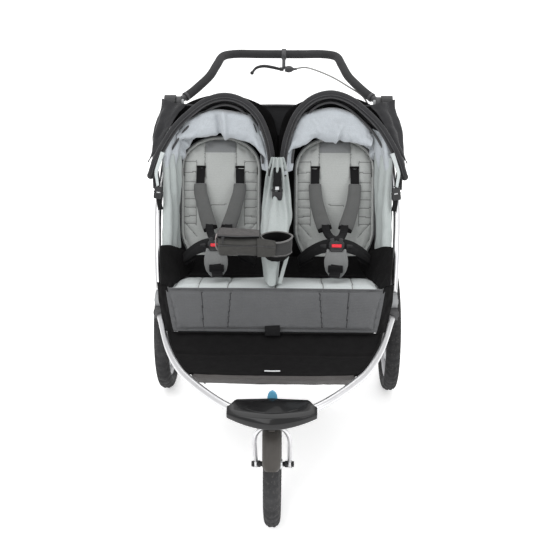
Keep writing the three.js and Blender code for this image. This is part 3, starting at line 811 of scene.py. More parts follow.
def fork():
    path = FORK_HALF + mm([[0, -495, 311.5]]) + [(-x, y, z) for x, y, z in reversed(FORK_HALF)]
    hoop = tube(path, (0.0055, 0.007), 84, 20, up=lambda t: (0, -0.86, 0.5))
    post = merge(
        turned_z([(0.009, 0.314), (0.009, 0.3445), (0.0075, 0.346)], (0, -0.495)),
        turned_z([(0.0125, 0.310), (0.014, 0.3115), (0.014, 0.3215), (0.0125, 0.3235)], (0, -0.495)),
    )
    drop = hull([
        (x, FRONT_AXLE.y + 0.0095 * math.cos(a), FRONT_AXLE.z + up + 0.0095 * math.sin(a))
        for x in (0.0398, 0.0462) for up in (0.0, 0.011) for a in [k * math.pi / 8 for k in range(16)]
    ], 0.0012)
    points, faces = merge(hoop, post, drop, flipped(drop))
    piece("fork_detail", points, faces, SILVER, "front_caster", "frame_metal", ["fork"])
    nut = merge(
        lathe([(0.0, 0.054), (0.0065, 0.054), (0.0075, 0.053), (0.0075, 0.0478), (0.0, 0.0478)], 6, FRONT_AXLE, False),
        lathe([(0.0, 0.0485), (0.0095, 0.0485), (0.0095, 0.0468), (0.0, 0.0468)], 32, FRONT_AXLE, False),
        lathe([(0.0, 0.0392), (0.0085, 0.0392), (0.0085, 0.0315), (0.0065, 0.0305), (0.0065, 0.0258), (0.0, 0.0258)],
              32, FRONT_AXLE, False),
    )
    pin = lathe([(0.0, -0.05), (0.004, -0.05), (0.004, 0.05), (0.0, 0.05)], 20, FRONT_AXLE, False)
    points, faces = merge(nut, flipped(nut), pin)
    piece("front_axle_detail", points, faces, PLASTIC, "front_caster", "black_plastic", ["front_axle"])


def turned_z(profile, at):
    """Turned around Z from (radius, z) pairs, with flat ends."""
    sides = 32
    rings = [[
        Vector((at[0] + r * math.cos(2 * math.pi * k / sides), at[1] + r * math.sin(2 * math.pi * k / sides), z))
        for k in range(sides)
    ] for r, z in profile]
    return stitched(rings)


def fender():
    start, stop, steps, across = math.radians(64), math.radians(155), 60, 24

    def at(u, v, inner):
        a = start + (stop - start) * v
        near = min(v, 1 - v) * (stop - start) * 0.16
        corner = smooth_step(near / 0.012)
        half = (0.0262 - 0.0042 * v) * (0.72 + 0.28 * corner)
        s = 2 * u - 1
        drop = 0.0125 * abs(s) ** 3.2 + 0.0012 * (1 - smooth_step((abs(s) - 0.34) / 0.12))
        r = 0.1628 - drop - (0.002 if inner else 0.0)
        return FRONT_AXLE + Vector((half * s, r * math.cos(a), r * math.sin(a)))

    def ring(v):
        out = [at(k / across, v, False) for k in range(across + 1)]
        back = [at(k / across, v, True) for k in range(across, -1, -1)]
        return out + back

    shell = stitched([ring(k / steps) for k in range(steps + 1)])
    stay = hull([(x, y, z) for x in (-0.007, 0.007) for y, z in
                 ((-0.499, 0.2985), (-0.488, 0.2985), (-0.499, 0.3048), (-0.488, 0.3048), (-0.492, 0.313))], 0.001)
    points, faces = merge(shell, stay)
    piece("front_fender_detail", points, faces, FENDER_BROWN, "front_caster", "fender_plastic", ["front_fender"])


def nose():
    """A glossy shell with a flat top, cut corners and a chin that comes down to the fork."""
    across, rings = 40, []
    for i in range(across + 1):
        s = 2 * i / across - 1
        a = abs(s)
        x = 0.107 * s
        cut = smooth_step((a - 0.80) / 0.2)
        back = -0.4480 - 0.0035 * a - 0.036 * cut
        front = -0.5345 + 0.030 * a ** 2.0
        chin = 0.3245 + 0.0125 * a ** 1.6
        top_back, top_front = 0.3662 - 0.003 * a, 0.3590 - 0.004 * a ** 2
        low_back = 0.3305 + 0.003 * a
        step = front + 0.012
        corners = [
            (back, top_back), (step, top_front + 0.0012), (front - 0.0015, top_front - 0.004),
            (front - 0.0085 * (1 - a) - 0.002, (top_front + chin) / 2 + 0.002), (front - 0.006 * (1 - a), chin),
            (front + 0.022, chin - 0.0015 * (1 - a)), (back - 0.004, low_back),
        ]
        rings.append([Vector((x, y, z)) for y, z in chaikin(corners, 3, 0.10)])
    rings = [shrunk(rings[0], 0.86), *rings, shrunk(rings[-1], 0.86)]
    for ring, x in ((rings[0], -0.1085), (rings[-1], 0.1085)):
        for p in ring:
            p.x = x
    shell = stitched(rings)
    rim = tube([(-0.062, -0.4975, 0.3598), (-0.035, -0.5135, 0.3602), (0, -0.5195, 0.3604),
                (0.035, -0.5135, 0.3602), (0.062, -0.4975, 0.3598)], 0.0017, 40, 10)
    points, faces = merge(shell, rim)
    piece("nose_housing_detail", points, faces, GLOSS, "base", "gloss_plastic", ["nose_housing"])
    tab = []
    for k in range(9):
        t = k / 8
        half = 0.0118 * (1 - t ** 2.4) ** 0.5 + 0.001
        tab.append([
            Vector((half * math.cos(a), -0.441 + (0.0042 - 0.0014 * t) * math.sin(a), 0.3528 + 0.0272 * t))
            for a in [2 * math.pi * j / 24 for j in range(24)]
        ])
    ribs = [tube([(-0.006 + 0.001 * k, -0.4448, 0.358 + 0.004 * k), (0.006 - 0.001 * k, -0.4448, 0.358 + 0.004 * k)],
                 0.0006, 6, 8) for k in range(4)]
    points, faces = merge(stitched(tab), *ribs)
    piece("swivel_lock_tab", points, faces, BLUE, "swivel_lock", "lock_blue", ["swivel_lock_lever"])


def chaikin(corners, times, share=0.25):
    """Corner cutting that rounds a closed outline."""
    p = [tuple(c) for c in corners]
    for _ in range(times):
        cut = []
        for a, b in zip(p, p[1:] + p[:1]):
            cut.append(tuple(m + (n - m) * share for m, n in zip(a, b)))
            cut.append(tuple(m + (n - m) * (1 - share) for m, n in zip(a, b)))
        p, share = cut, 0.25
    return p


def pedal():
    y, z = REAR_AXLE.y, REAR_AXLE.z
    ring = lathe([(0.0128, -0.0125), (0.017, -0.0125), (0.018, -0.0115), (0.018, 0.0115), (0.017, 0.0125),
                  (0.0128, 0.0125)], 48, (0, y, z))
    plate = hull([(sx * x, py, pz + dz) for sx in (-1, 1) for x, py, pz in (
        (0.026, 0.350, 0.2015), (0.031, 0.356, 0.202), (0.0345, 0.412, 0.2095), (0.029, 0.4185, 0.2105),
    ) for dz in (-0.0035, 0.0035)], 0.0015, 3)
    grips = [tube([(-0.024, 0.366 + 0.010 * k, 0.2075 + 0.0012 * k), (0.024, 0.366 + 0.010 * k, 0.2075 + 0.0012 * k)],
                  (0.0018, 0.0016), 8, 12) for k in range(5)]
    points, faces = merge(ring, plate, *grips)
    piece("parking_brake_detail", points, faces, PLASTIC, "parking_brake", "black_plastic", ["parking_brake_pedal"])


# ---------------------------------------------------------------- Handlebar
BAR_HALF = mm([
    [291, 325, 928], [262, 352, 943], [232, 385, 964], [207, 425, 984], [190, 480, 1007],
    [174, 532, 1024], [140, 555.5, 1027], [60, 555.5, 1027],
])
BAR = BAR_HALF + mm([[0, 555.5, 1027]]) + [(-x, y, z) for x, y, z in reversed(BAR_HALF)]
LEVER = Vector((0.008, 0.515, 0.988))
OUT = Vector((0, -0.71, -0.704))


def handlebar():
    disc = lathe([(0.0, 0.284), (0.0095, 0.284), (0.0155, 0.284), (0.017, 0.2855), (0.017, 0.298), (0.0155, 0.2995),
                  (0.0, 0.2995)], 40, (0, 0.320, 0.925), False)
    inner = tube(BAR, 0.0095, 150, 20)
    points, faces = merge(inner, disc, flipped(disc))
    piece("handlebar_tube_detail", points, faces, DARK, "handlebar", "handlebar_metal", ["handlebar_tube"])
    path = curve(BAR, 200)[5:-5]
    grip = tube(path, lambda t: 0.0128 + 0.00008 * math.sin(t * 90), 170, 24)
    rings = [tube([path[i], path[i].lerp(path[i + 2], 0.9)], 0.0134, 4, 24) for i in (0, len(path) - 3)]
    points, faces = merge(grip)
    piece("handlebar_grip_detail", points, faces, FOAM, "handlebar", "grip_foam", ["handlebar_grip"])
    points, faces = merge(*rings)
    piece("grip_end_rings", points, faces, DARK, "handlebar", "black_plastic")
    seam = tube([p + Vector((0, 0.0, -0.0124)) for p in path[24:-24:6]], 0.0006, 120, 6)
    piece("grip_seam", *seam, FOAM, "handlebar", "grip_foam")

    x = 0.013
    collar = lathe([(0.0132, -0.007), (0.0155, -0.007), (0.0165, -0.006), (0.0165, 0.006), (0.0155, 0.007),
                    (0.0132, 0.007)], 40, (x, 0.5555, 1.027))
    stem = []
    for k in range(9):
        d, half = 0.012 + 0.040 * k / 8, 0.0052 + 0.0022 * (k / 8) ** 2
        c = Vector((x, 0.5555, 1.027)) + OUT * d
        n = Vector((0, 0.704, -0.71))
        stem.append([c + Vector((0.0052 * math.cos(a), 0, 0)) + n * (half * math.sin(a))
                     for a in [2 * math.pi * j / 20 for j in range(20)]])
    house = []
    for k in range(13):
        t = k / 12
        hx = 0.0165 + 0.030 * t
        h = 0.0072 + 0.0028 * math.sin(math.pi * min(1, t * 1.25)) - 0.0045 * max(0, t - 0.7) / 0.3
        house.append([Vector((hx, LEVER.y + h * math.copysign(abs(math.cos(a)) ** 0.7, math.cos(a)),
                              LEVER.z + h * math.copysign(abs(math.sin(a)) ** 0.7, math.sin(a))))
                      for a in [2 * math.pi * j / 24 for j in range(24)]])
    screw = tube([Vector((x, 0.5555, 1.027)) - OUT * 0.0150, Vector((x, 0.5555, 1.027)) - OUT * 0.0185], 0.0035, 3, 16)
    barrel = tube([(0.0455, LEVER.y, LEVER.z), (0.0535, LEVER.y - 0.002, LEVER.z + 0.002)], 0.0036, 6, 16)
    points, faces = merge(collar, stitched(stem), stitched(house), screw, barrel)
    piece("brake_lever_housing", points, faces, DARK, "handlebar", "black_plastic", ["brake_lever_bracket"])
    blade = tube(
        [(0.013, 0.515, 0.988), (0.0, 0.515, 0.9885), (-0.020, 0.515, 0.993), (-0.050, 0.514, 0.997),
         (-0.072, 0.508, 0.992), (-0.084, 0.500, 0.979)],
        lambda t: (0.0034 + 0.0012 * math.sin(math.pi * t), 0.0056 - 0.0012 * t), 60, 16, up=(0, 0.704, -0.71),
    )
    tip = ball((-0.0842, 0.4998, 0.9788), 0.0058)
    eye = lathe([(0.0, -0.0065), (0.0055, -0.0065), (0.006, -0.0055), (0.006, 0.0035), (0.0055, 0.0045), (0.0, 0.0045)],
                24, LEVER, False)
    points, faces = merge(blade, tip, eye)
    piece("brake_lever_blade", points, faces, PLASTIC, "brake_lever_body", "lever_metal", ["brake_lever"])


def ball(centre, r, n=14):
    rings = [[
        Vector(centre) + Vector((
            r * math.cos(math.pi * (k / n - 0.5)) * math.cos(a), r * math.cos(math.pi * (k / n - 0.5)) * math.sin(a),
            r * math.sin(math.pi * (k / n - 0.5)),
        )) for a in [2 * math.pi * j / 20 for j in range(20)]
    ] for k in range(1, n)]
    return stitched(rings)


def cables():
    """The brake cable, clipped to what it runs along: a ribbed jacket in three stretches."""
    first = mm([
        [50, 513, 990], [78, 500, 996], [109, 480, 992], [160, 446, 977], [207, 402, 957], [250, 366, 934],
        [268, 349, 908],
    ])
    ribbed = lambda t: 0.0024 + 0.0001 * math.sin(t * 900)  # noqa: E731
    piece("brake_cable_upper", *tube(first, ribbed, 220, 10), JACKET, "handlebar", "cable_jacket",
          ["brake_cable_handlebar"])
    run = []
    for i, (x, y, z) in enumerate(UPPER_TUBE):
        along = 0.008 if i == 0 else -0.008 if i == len(UPPER_TUBE) - 1 else 0.0
        run.append((x, y + along * RISE.y + 0.019 * RISE.z, z + along * RISE.z - 0.019 * RISE.y))
    piece("brake_cable_middle", *tube(run, 0.0025, 90, 10), PLASTIC, "upper_frame", "cable_jacket",
          ["brake_cable_frame"])
    low = mm([[308, 44, 426], [303, 90, 398], [295, 150, 356], [288, 250, 284], [287, 316, 224]])
    piece("brake_cable_end", *tube(low, 0.0025, 60, 10), PLASTIC, "base", "cable_jacket", ["brake_cable_lower"])
    clips = []
    route = curve(run, 40)
    for i in (6, 15, 24, 33):
        clips.append(tube([route[i], route[i + 1]], 0.0042, 4, 14))
    points, faces = merge(*clips)
    piece("cable_clips", points, faces, PLASTIC, "upper_frame", "black_plastic")


# ---------------------------------------------------------------- Fabric helpers
def drape(rows, nu, nv, fold=None, thick=0.0018):
    """A thin sheet through rows of points. fold(u, v) is how far it moves towards the viewer of its front."""
    fine = [curve(row, nu) if len(row) > 2 else even([Vector(q) for q in row], nu) for row in rows]
    columns = [[row[i] for row in fine] for i in range(nu + 1)]
    columns = [curve(c, nv) if len(rows) > 2 else even(c, nv) for c in columns]
    grid = [[columns[i][j] for i in range(nu + 1)] for j in range(nv + 1)]
    if fold:
        grid = [[
            p - (row[min(i + 1, nu)] - row[max(i - 1, 0)]).cross(
                grid[min(j + 1, nv)][i] - grid[max(j - 1, 0)][i]).normalized() * fold(i / nu, j / nv)
            for i, p in enumerate(row)
        ] for j, row in enumerate(grid)]
    return sheet_grid(lambda u, v: grid[round(v * nv)][round(u * nu)], nu, nv, thick)


def quilted(source, origin, axes, half, span, counts, grooves, wrinkle=0.0012, seed=0.0, raised=0.0):
    """A fine, even mesh over a puffed form, with sewn grooves pressed into its front.

    half(v) gives the half width, span the range of v, and grooves are (line of (u, v), depth, width).
    Returns the part, and the (u, v, distance to a seam) of each face of its front, in order."""
    tree = BVHTree.FromPolygons([tuple(p) for p in source[0]], [tuple(f) for f in source[1]])
    origin, (eu, ev, ew) = Vector(origin), [Vector(a) for a in axes]
    (nu, nv), (low, high) = counts, span
    uv = []
    for j in range(nv + 1):
        v = low + (high - low) * j / nv
        for i in range(nu + 1):
            uv.append(((2 * i / nu - 1) * half(v), v))
    flat = np.array(uv)
    depth, near = np.zeros(len(flat)), np.full(len(flat), 9.0)
    for line, deep, wide in grooves:
        d = away(flat, line)
        depth = np.maximum(depth, deep * np.clip(1 - d / wide, 0, 1) ** 1.6)
        near = np.minimum(near, d)

    def reach(u, v, way):
        start = origin + eu * u + ev * v
        hit = tree.ray_cast(start + ew * (0.3 * way), -ew * way)[0]
        if hit is None:
            hit = tree.find_nearest(start)[0]
        return (hit - origin).dot(ew)

    points = []
    for way in (1, -1):
        for k, (u, v) in enumerate(uv):
            w = reach(u, v, way)
            if way > 0:
                p = origin + eu * u + ev * v
                pucker = math.exp(-near[k] / 0.012)
                w += raised - depth[k] + wrinkle * ripple(p.x, p.y, p.z, 16, seed)
                w += wrinkle * 0.9 * pucker * ripple(p.x, p.y, p.z, 85, seed + 5)
            points.append(origin + eu * u + ev * v + ew * w)
    cols, back, faces, where = nu + 1, len(uv), [], []
    for j in range(nv):
        for i in range(nu):
            a = j * cols + i
            faces.append((a, a + 1, a + cols + 1, a + cols))
            close = (near[a] + near[a + 1] + near[a + cols] + near[a + cols + 1]) / 4
            where.append(((uv[a][0] + uv[a + 1][0]) / 2, (uv[a][1] + uv[a + cols][1]) / 2, close))
    faces += [tuple(i + back for i in reversed(f)) for f in faces[:]]
    border = [(i, i + 1) for i in range(nu)]
    border += [(j * cols + nu, (j + 1) * cols + nu) for j in range(nv)]
    border += [(nv * cols + i + 1, nv * cols + i) for i in range(nu)]
    border += [((j + 1) * cols, j * cols) for j in range(nv)]
    faces += [(b, a, a + back, b + back) for a, b in border]
    return (points, faces), where


def coloured(made, where, choose):
    """Faces of the front take the material number that choose(u, v, distance to a seam) gives."""
    for polygon, at in zip(made.data.polygons, where):
        polygon.material_index = choose(*at)
    return made


def strap_pad(points, half_width, half_thick, up, n=40, sides=28, seed=0.0):
    """A long padded sleeve with a flat sewn edge."""
    path = curve(points, n)
    rings = []
    for i, (p, (s, nrm)) in enumerate(zip(path, axes_along(path, up))):
        t = i / n
        w = half_width(t) if callable(half_width) else half_width
        end = min(1.0, min(t, 1 - t) * n / 2.2 + 0.35) ** 0.5
        ring = []
        for k in range(sides):
            a = 2 * math.pi * k / sides
            c, q = math.cos(a), math.sin(a)
            across = w * math.copysign(abs(c) ** 0.75, c)
            high = half_thick * end * (0.22 + 0.78 * (1 - abs(across / w) ** 3.5)) * math.copysign(abs(q) ** 0.6, q)
            point = p + s * across * (0.9 + 0.1 * end) + nrm * high
            ring.append(point + nrm * 0.0010 * ripple(*point, 45, seed))
        rings.append(ring)
    return stitched(rings)


# ---------------------------------------------------------------- Seat backs
SEAT_X = 0.166
SEAT_ORIGIN = Vector((SEAT_X, 0.125, 0.462))
EU, EV, EW = Vector((1, 0, 0)), Vector((0, 0.3355, 0.9421)), Vector((0, -0.9421, 0.3355))


def on_seat(u, v, w):
    return SEAT_ORIGIN + EU * u + EV * v + EW * w


def arch(inset=0.0):
    """Half width of the seat back at height v, inset from its edge."""
    straight, top = 0.300, 0.403 - inset
    wide = 0.119 - inset

    def half(v):
        if v <= straight:
            return wide - 0.036 * smooth_step((0.128 - v) / 0.115)
        t = min(1.0, (v - straight) / (top - straight))
        return max(0.0015, wide * (1 - t ** 2.35) ** 0.5)
    return half


def outline(inset, low, n=40):
    """The seat back's outline in (u, v), from the lower left over the top."""
    half, top = arch(inset), 0.403 - inset
    left = [(-half(v), v) for v in [low + (0.300 - low) * k / 24 for k in range(24)]]
    over = [(-half(v), v) for v in [0.300 + (top - 0.300) * (1 - (1 - k / n) ** 2) for k in range(n + 1)]]
    return left + over + [(-u, v) for u, v in reversed(left + over[:-1])]


def seat_backs():
    shape = outline(0.005, 0.006)
    slab = prism(shape, -0.028, -0.0045)
    source = puffed(([on_seat(*p) for p in slab[0]], slab[1]), 0.0055, 4.0, 0.007)
    side_lines = [
        [(s * 0.071, v), (s * 0.112, v + lift)] for s in (-1, 1)
        for v, lift in ((0.326, 0.001), (0.296, -0.002), (0.266, 0.002), (0.243, -0.001), (0.217, 0.001),
                        (0.192, 0.003), (0.168, -0.002), (0.145, 0.002))
    ]
    grooves = [(outline(0.011, 0.0), 0.0036, 0.007)]
    grooves += [([(s * 0.0455, 0.403), (s * 0.0455, 0.280)], 0.004, 0.008) for s in (-1, 1)]
    grooves += [([(s * 0.070, 0.33), (s * 0.070, 0.14)], 0.0012, 0.006) for s in (-1, 1)]
    grooves += [([(s * 0.112, 0.158), (s * 0.068, 0.108)], 0.0034, 0.008) for s in (-1, 1)]
    grooves += [(line, 0.0030, 0.0075) for line in side_lines]
    grooves += [([(-0.06, 0.062), (0.06, 0.062)], 0.0026, 0.008), ([(-0.02, 0.202), (0.028, 0.199)], 0.0010, 0.006)]
    border = [on_seat(u, v, -0.007) for u, v in outline(0.0035, 0.004)]
    piping = tube(border, 0.0026, 260, 10)
    for (side, sign), seed in zip(SIDES, (3.0, 17.0)):
        part, where = quilted(source, SEAT_ORIGIN, (EU, EV, EW), arch(0.004), (0.004, 0.3992), (100, 160), grooves,
                              0.0014, seed)
        if sign < 0:
            part = flipped(part)
        made = piece(f"seat_back_pad_{side}", *part, [LIGHT, PAINTED_SHADOW, SEAM], None)
        # Seam lines take the seam colour; the top middle panel between the vertical seams takes the painted shadow of
        # the hood lining.
        coloured(made, where, lambda u, v, d: 2 if d < 0.0013 else 1 if v > 0.352 and abs(u) < 0.0455 else 0)
        place(made, f"recline_{side}", "seat_light", [f"seat_back_{side}"])
    pair("seat_back_piping", piping, THREAD, "recline_@", "seat_dark")
    shell = prism(outline(-0.0005, -0.002), -0.0375, -0.016)
    body = hullless(([on_seat(*p) for p in shell[0]], shell[1]))
    pair("seat_back_shell", body, BLACK, "recline_@", "black_mesh")
    ribs = [tube([on_seat(u, v, -0.0385) for u, v in outline(0.012, 0.004)], 0.0019, 200, 8)]
    ribs += [tube([on_seat(s * 0.058, 0.02, -0.0382), on_seat(s * 0.058, 0.375, -0.0382)], 0.0014, 40, 8)
             for s in (-1, 1)]
    pair("seat_back_shell_seams", merge(*ribs), TRIM, "recline_@", "black_mesh")
    rear = [band([on_seat(s * 0.0565, 0.262, -0.040), on_seat(s * 0.0565, 0.18, -0.041),
                  on_seat(s * 0.02, 0.10, -0.0405)],
                 0.024, 0.0016, lambda t: -EW, 20) for s in (-1, 1)]
    pair("harness_rear_webbing", merge(*rear), WEB, "recline_@", "black_mesh")


def hullless(part, soft=0.004):
    """A slab with its long edges rounded."""
    work = bmesh.new()
    verts = [work.verts.new(p) for p in part[0]]
    for f in part[1]:
        work.faces.new([verts[i] for i in f])
    rims = [e for e in work.edges if len(e.link_faces) == 2 and max(len(f.verts) for f in e.link_faces) > 8]
    bmesh.ops.bevel(work, geom=rims, offset=soft, segments=4, profile=0.55, affect="EDGES")
    return taken(work)


def harness():
    """Shoulder pads with their cuffs, webbing and slots, and the harness tails."""
    for side, sign in SIDES:
        body = f"recline_{side}"
        pads, tops, ends, anchors = [], [], [], []
        for s in (-1, 1):
            lean = 0.002 * s * sign
            route = [on_seat(s * 0.0575, 0.261, 0.0175), on_seat(s * 0.0565, 0.238, 0.0230),
                     on_seat(s * 0.0500 + lean, 0.205, 0.0310), on_seat(s * 0.0390 + lean, 0.165, 0.0400),
                     on_seat(s * 0.0280 + lean, 0.134, 0.0480)]
            pads.append(strap_pad(route, lambda t: 0.0182 + 0.0036 * t, 0.0074, lambda t: EW, 44, 28, s * 3 + sign))
            foot = curve(route, 44)
            cuff = [foot[-3], foot[-1], foot[-1] + (foot[-1] - foot[-4]).normalized() * 0.009]
            ends.append(strap_pad(cuff, 0.0205, 0.0058, lambda t: EW, 10, 24, s))
            tops.append(band([on_seat(s * 0.0565, 0.310, -0.0015), on_seat(s * 0.0568, 0.298, 0.0065),
                              on_seat(s * 0.0572, 0.276, 0.0118), on_seat(s * 0.0574, 0.248, 0.0190)],
                             0.0245, 0.0022, lambda t: EW, 20))
            anchors.append(hull([on_seat(s * 0.0565 + a * 0.0135, 0.3105 + b * 0.0035, c)
                                 for a in (-1, 1) for b in (-1, 1) for c in (-0.004, 0.0062)], 0.0022))
        parts = {
            "shoulder_pads": (merge(*pads), PAD, "seat_dark", [f"harness_{side}"]),
            "shoulder_pad_cuffs": (merge(*ends), BLACK, "black_mesh", []),
            "shoulder_webbing": (merge(*tops), WEB, "black_mesh", []),
            "shoulder_slots": (merge(*anchors), BLACK, "black_mesh", []),
        }
        for name, (part, material, slot, replaces) in parts.items():
            made = piece(f"{name}_{side}", *(part if sign > 0 else flipped(part)), material, body, slot, replaces)
        tails = []
        for s in (-1, 1):
            x = SEAT_X
            for width, rise, out in ((0.0225, 0.0, 0.0), (0.0205, 0.004, 0.003)):
                tails.append(band([
                    (x + s * 0.0285, 0.128, 0.612 + rise), (x + s * 0.024, 0.104 - out, 0.600 + rise),
                    (x + s * 0.0165, 0.070 - out, 0.597 + rise), (x + s * 0.0095, 0.040, 0.602 + rise),
                    (x + s * 0.006, 0.008, 0.6085),
                ], width, 0.0019, (0, -0.5, 0.86), 36))
        part = merge(*tails)
        made = piece(f"harness_tails_{side}", *(part if sign > 0 else flipped(part)), WEB, None)
        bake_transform(made)


def waist_and_crotch():
    x = SEAT_X
    straps, grips = [], []
    for s in (-1, 1):
        for width, drop, out in ((0.036, 0.0, 0.0), (0.024, 0.006, 0.006)):
            straps.append(band([
                (x + s * 0.014, -0.004, 0.600 - drop), (x + s * 0.036, 0.006 - out, 0.592 - drop),
                (x + s * 0.062, 0.030 - out, 0.572 - drop), (x + s * 0.086, 0.060 - out, 0.545 - drop),
                (x + s * 0.104, 0.086, 0.517),
            ], width, 0.0024, lambda t: (s * 0.35, -0.75, 0.55), 32, taper=lambda t: 1 - 0.25 * t))
        grips.append(hull([(x + s * a, y, z + c) for a, y, z in (
            (0.028, -0.008, 0.601), (0.028, 0.002, 0.578), (0.045, 0.008, 0.593), (0.045, 0.016, 0.571),
        ) for c in (-0.003, 0.003)], 0.0015))
        straps.append(strap_pad([(x + s * 0.062, 0.044, 0.557), (x + s * 0.082, 0.066, 0.538),
                                 (x + s * 0.101, 0.090, 0.516)], 0.021, 0.006, lambda t: (s * 0.35, -0.7, 0.6), 16, 24))
    for made in pair("waist_straps", merge(*straps), WEB, "base", "black_mesh"):
        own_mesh(made)
    for made in pair("waist_strap_adjusters", merge(*grips), PLASTIC, "base", "black_plastic"):
        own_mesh(made)

    profile = [(0.503, 0.013), (0.512, 0.0215), (0.524, 0.0295), (0.540, 0.0335), (0.556, 0.0338), (0.572, 0.031),
               (0.584, 0.0285), (0.589, 0.026)]
    rings = []
    for z, half in profile:
        rings.append([Vector((x + half * math.copysign(abs(math.cos(a)) ** 0.6, math.cos(a)),
                              -0.008 + 0.0058 * math.copysign(abs(math.sin(a)) ** 0.7, math.sin(a)), z))
                      for a in [2 * math.pi * k / 40 for k in range(40)]])
    soft = puffed(stitched(rings), 0.0035, 3.0, 0.003, 12)
    part, _ = quilted(soft, (x, -0.008, 0.503), ((1, 0, 0), (0, 0, 1), (0, -1, 0)), crotch_half, (0.0, 0.086),
                      (44, 52), [([(-0.0255, 0.03), (-0.0265, 0.055), (-0.021, 0.078), (0.021, 0.078),
                                   (0.0265, 0.055), (0.0255, 0.03), (0.0, 0.006), (-0.0255, 0.03)], 0.0011, 0.004)],
                      0.0009, 4.0)
    for made in pair("crotch_pad_cover", part, CROTCH, "crotch_strap_@", "seat_dark", ["crotch_pad_@"]):
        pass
    tail = band([(x + 0.001, -0.0155, 0.545), (x - 0.001, -0.0190, 0.532), (x - 0.004, -0.030, 0.5235),
                 (x - 0.007, -0.046, 0.5205)],
                0.030, 0.0022, lambda t: (0, -1 + t, 0.25 + t), 24)
    loop = band([(x, -0.0095, 0.598), (x, -0.0085, 0.588), (x, -0.0080, 0.578)], 0.030, 0.0026, (0, -1, 0.05), 14)
    knob = hull([(x + a - 0.002, -0.019 + b, 0.5345 + c) for a in (-0.0205, 0.0205) for b in (-0.005, 0.004)
                 for c in (-0.011, 0.010)], 0.0035, 3)
    pair("crotch_webbing", merge(loop), WEB, "crotch_strap_@", "black_mesh")
    for made in pair("crotch_tail", merge(tail, knob), WEB, "base", "black_mesh"):
        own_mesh(made)
    shell = hull([(x + sx * a, y, z) for sx in (-1, 1) for a, y, z in (
        (0.0155, -0.0155, 0.5865), (0.0205, -0.0145, 0.594), (0.0215, -0.0145, 0.604), (0.017, -0.0145, 0.612),
        (0.0155, -0.0025, 0.5865), (0.0205, -0.0025, 0.594), (0.0215, -0.0025, 0.604), (0.017, -0.0025, 0.612),
    )], 0.0022, 3)
    tongues = [hull([(x + s * a, y, z) for a, z in ((0.004, 0.608), (0.015, 0.608), (0.0185, 0.619), (0.0085, 0.6215))
                     for y in (-0.0125, -0.0055)], 0.0016) for s in (-1, 1)]
    collar = hull([(x + sx * a, y, z) for sx in (-1, 1) for a, z in ((0.016, 0.583), (0.0175, 0.590))
                   for y in (-0.0165, -0.0015)], 0.0015)
    pair("buckle_body", merge(shell, collar, *tongues), PLASTIC, "crotch_strap_@", "black_plastic")
    button = hull([(x + sx * a, y, z) for sx in (-1, 1) for a, z in ((0.0135, 0.5965), (0.0135, 0.6055))
                   for y in (-0.0178, -0.0125)] + [(x, -0.0186, 0.601)], 0.0018, 3)
    pair("buckle_press", button, RED, "buckle_button_body_@", "buckle_red", ["buckle_button_@"])


def crotch_half(v):
    z = 0.503 + v
    marks = [(0.503, 0.012), (0.512, 0.0205), (0.524, 0.0285), (0.540, 0.0325), (0.556, 0.033), (0.572, 0.030),
             (0.584, 0.0275), (0.590, 0.025)]
    return float(np.interp(z, [m[0] for m in marks], [m[1] for m in marks]))


# ---------------------------------------------------------------- Bench, calf panel, footwell, basket
def bench():
    section = [(-0.112, 0.5115), (-0.109, 0.4815), (0.108, 0.428), (0.112, 0.4565), (0.0, 0.4840)]
    half = 0.284
    front = []
    n = 48
    for k in range(n + 1):
        x = -half + 2 * half * k / n
        sag = 0.0015 * math.cos(x / half * math.pi * 2)
        front.append([Vector((x, y, z + (sag if z > 0.45 and y < 0.1 else 0))) for y, z in section])
    source = puffed(stitched(front), 0.0065, 4.0, 0.007)
    lines = [([(s * 0.129, -0.120), (s * 0.127, 0.113)], 0.0038, 0.009) for s in (-1, 1)]
    lines += [([(s * 0.208, -0.120), (s * 0.212, 0.113)], 0.0032, 0.008) for s in (-1, 1)]
    lines += [([(0.0, -0.120), (0.0, 0.113)], 0.0035, 0.009), ([(-0.29, 0.062), (0.29, 0.062)], 0.0030, 0.007)]
    part, where = quilted(source, (0, 0, 0.48), ((1, 0, 0), (0, 1, 0), (0, 0, 1)), lambda v: 0.2875, (-0.1155, 0.1130),
                          (220, 88), lines, 0.0018, 9.0)
    made = piece("bench_cushion", *part, [MID, PALE, SEAM], None)
    coloured(made, where, lambda u, v, d: 2 if d < 0.0014 else 1 if v < 0.062 else 0)
    place(made, "base", "seat_pale", ["seat_bench"])
    piping = tube([(-0.2875, -0.07, 0.5035), (-0.2885, -0.112, 0.5120), (-0.275, -0.1175, 0.5140), (0, -0.1180, 0.5150),
                   (0.275, -0.1175, 0.5140), (0.2885, -0.112, 0.5120), (0.2875, -0.07, 0.5035)], 0.0016, 220, 8)
    piece("bench_front_piping", *piping, MID, "base", "seat_dark")
    rows = [
        [(-0.300, 0.128, 0.520), (-0.15, 0.1375, 0.514), (0, 0.134, 0.512), (0.15, 0.1375, 0.514),
         (0.300, 0.128, 0.520)],
        [(-0.296, 0.112, 0.498), (-0.15, 0.118, 0.490), (0, 0.118, 0.490), (0.15, 0.118, 0.490), (0.296, 0.112, 0.498)],
        [(-0.290, 0.092, 0.482), (-0.15, 0.094, 0.4755), (0, 0.094, 0.477), (0.15, 0.094, 0.4755),
         (0.290, 0.092, 0.482)],
        [(-0.288, 0.058, 0.481), (-0.15, 0.060, 0.4805), (0, 0.060, 0.4815), (0.15, 0.060, 0.4805),
         (0.288, 0.058, 0.481)],
    ]

    def fold(u, v):
        return (0.004 * ripple(u * 0.8, v * 0.05, 0, 18, 3.0) + 0.0015 * ripple(u * 1.5, v * 0.05, 0, 60,
                                                                                8.0)) * (1 - v)

    made = piece("seat_joint_cloth", *drape(rows, 180, 24, fold, 0.0022), BLACK, "base", "black_mesh")
    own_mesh(made)


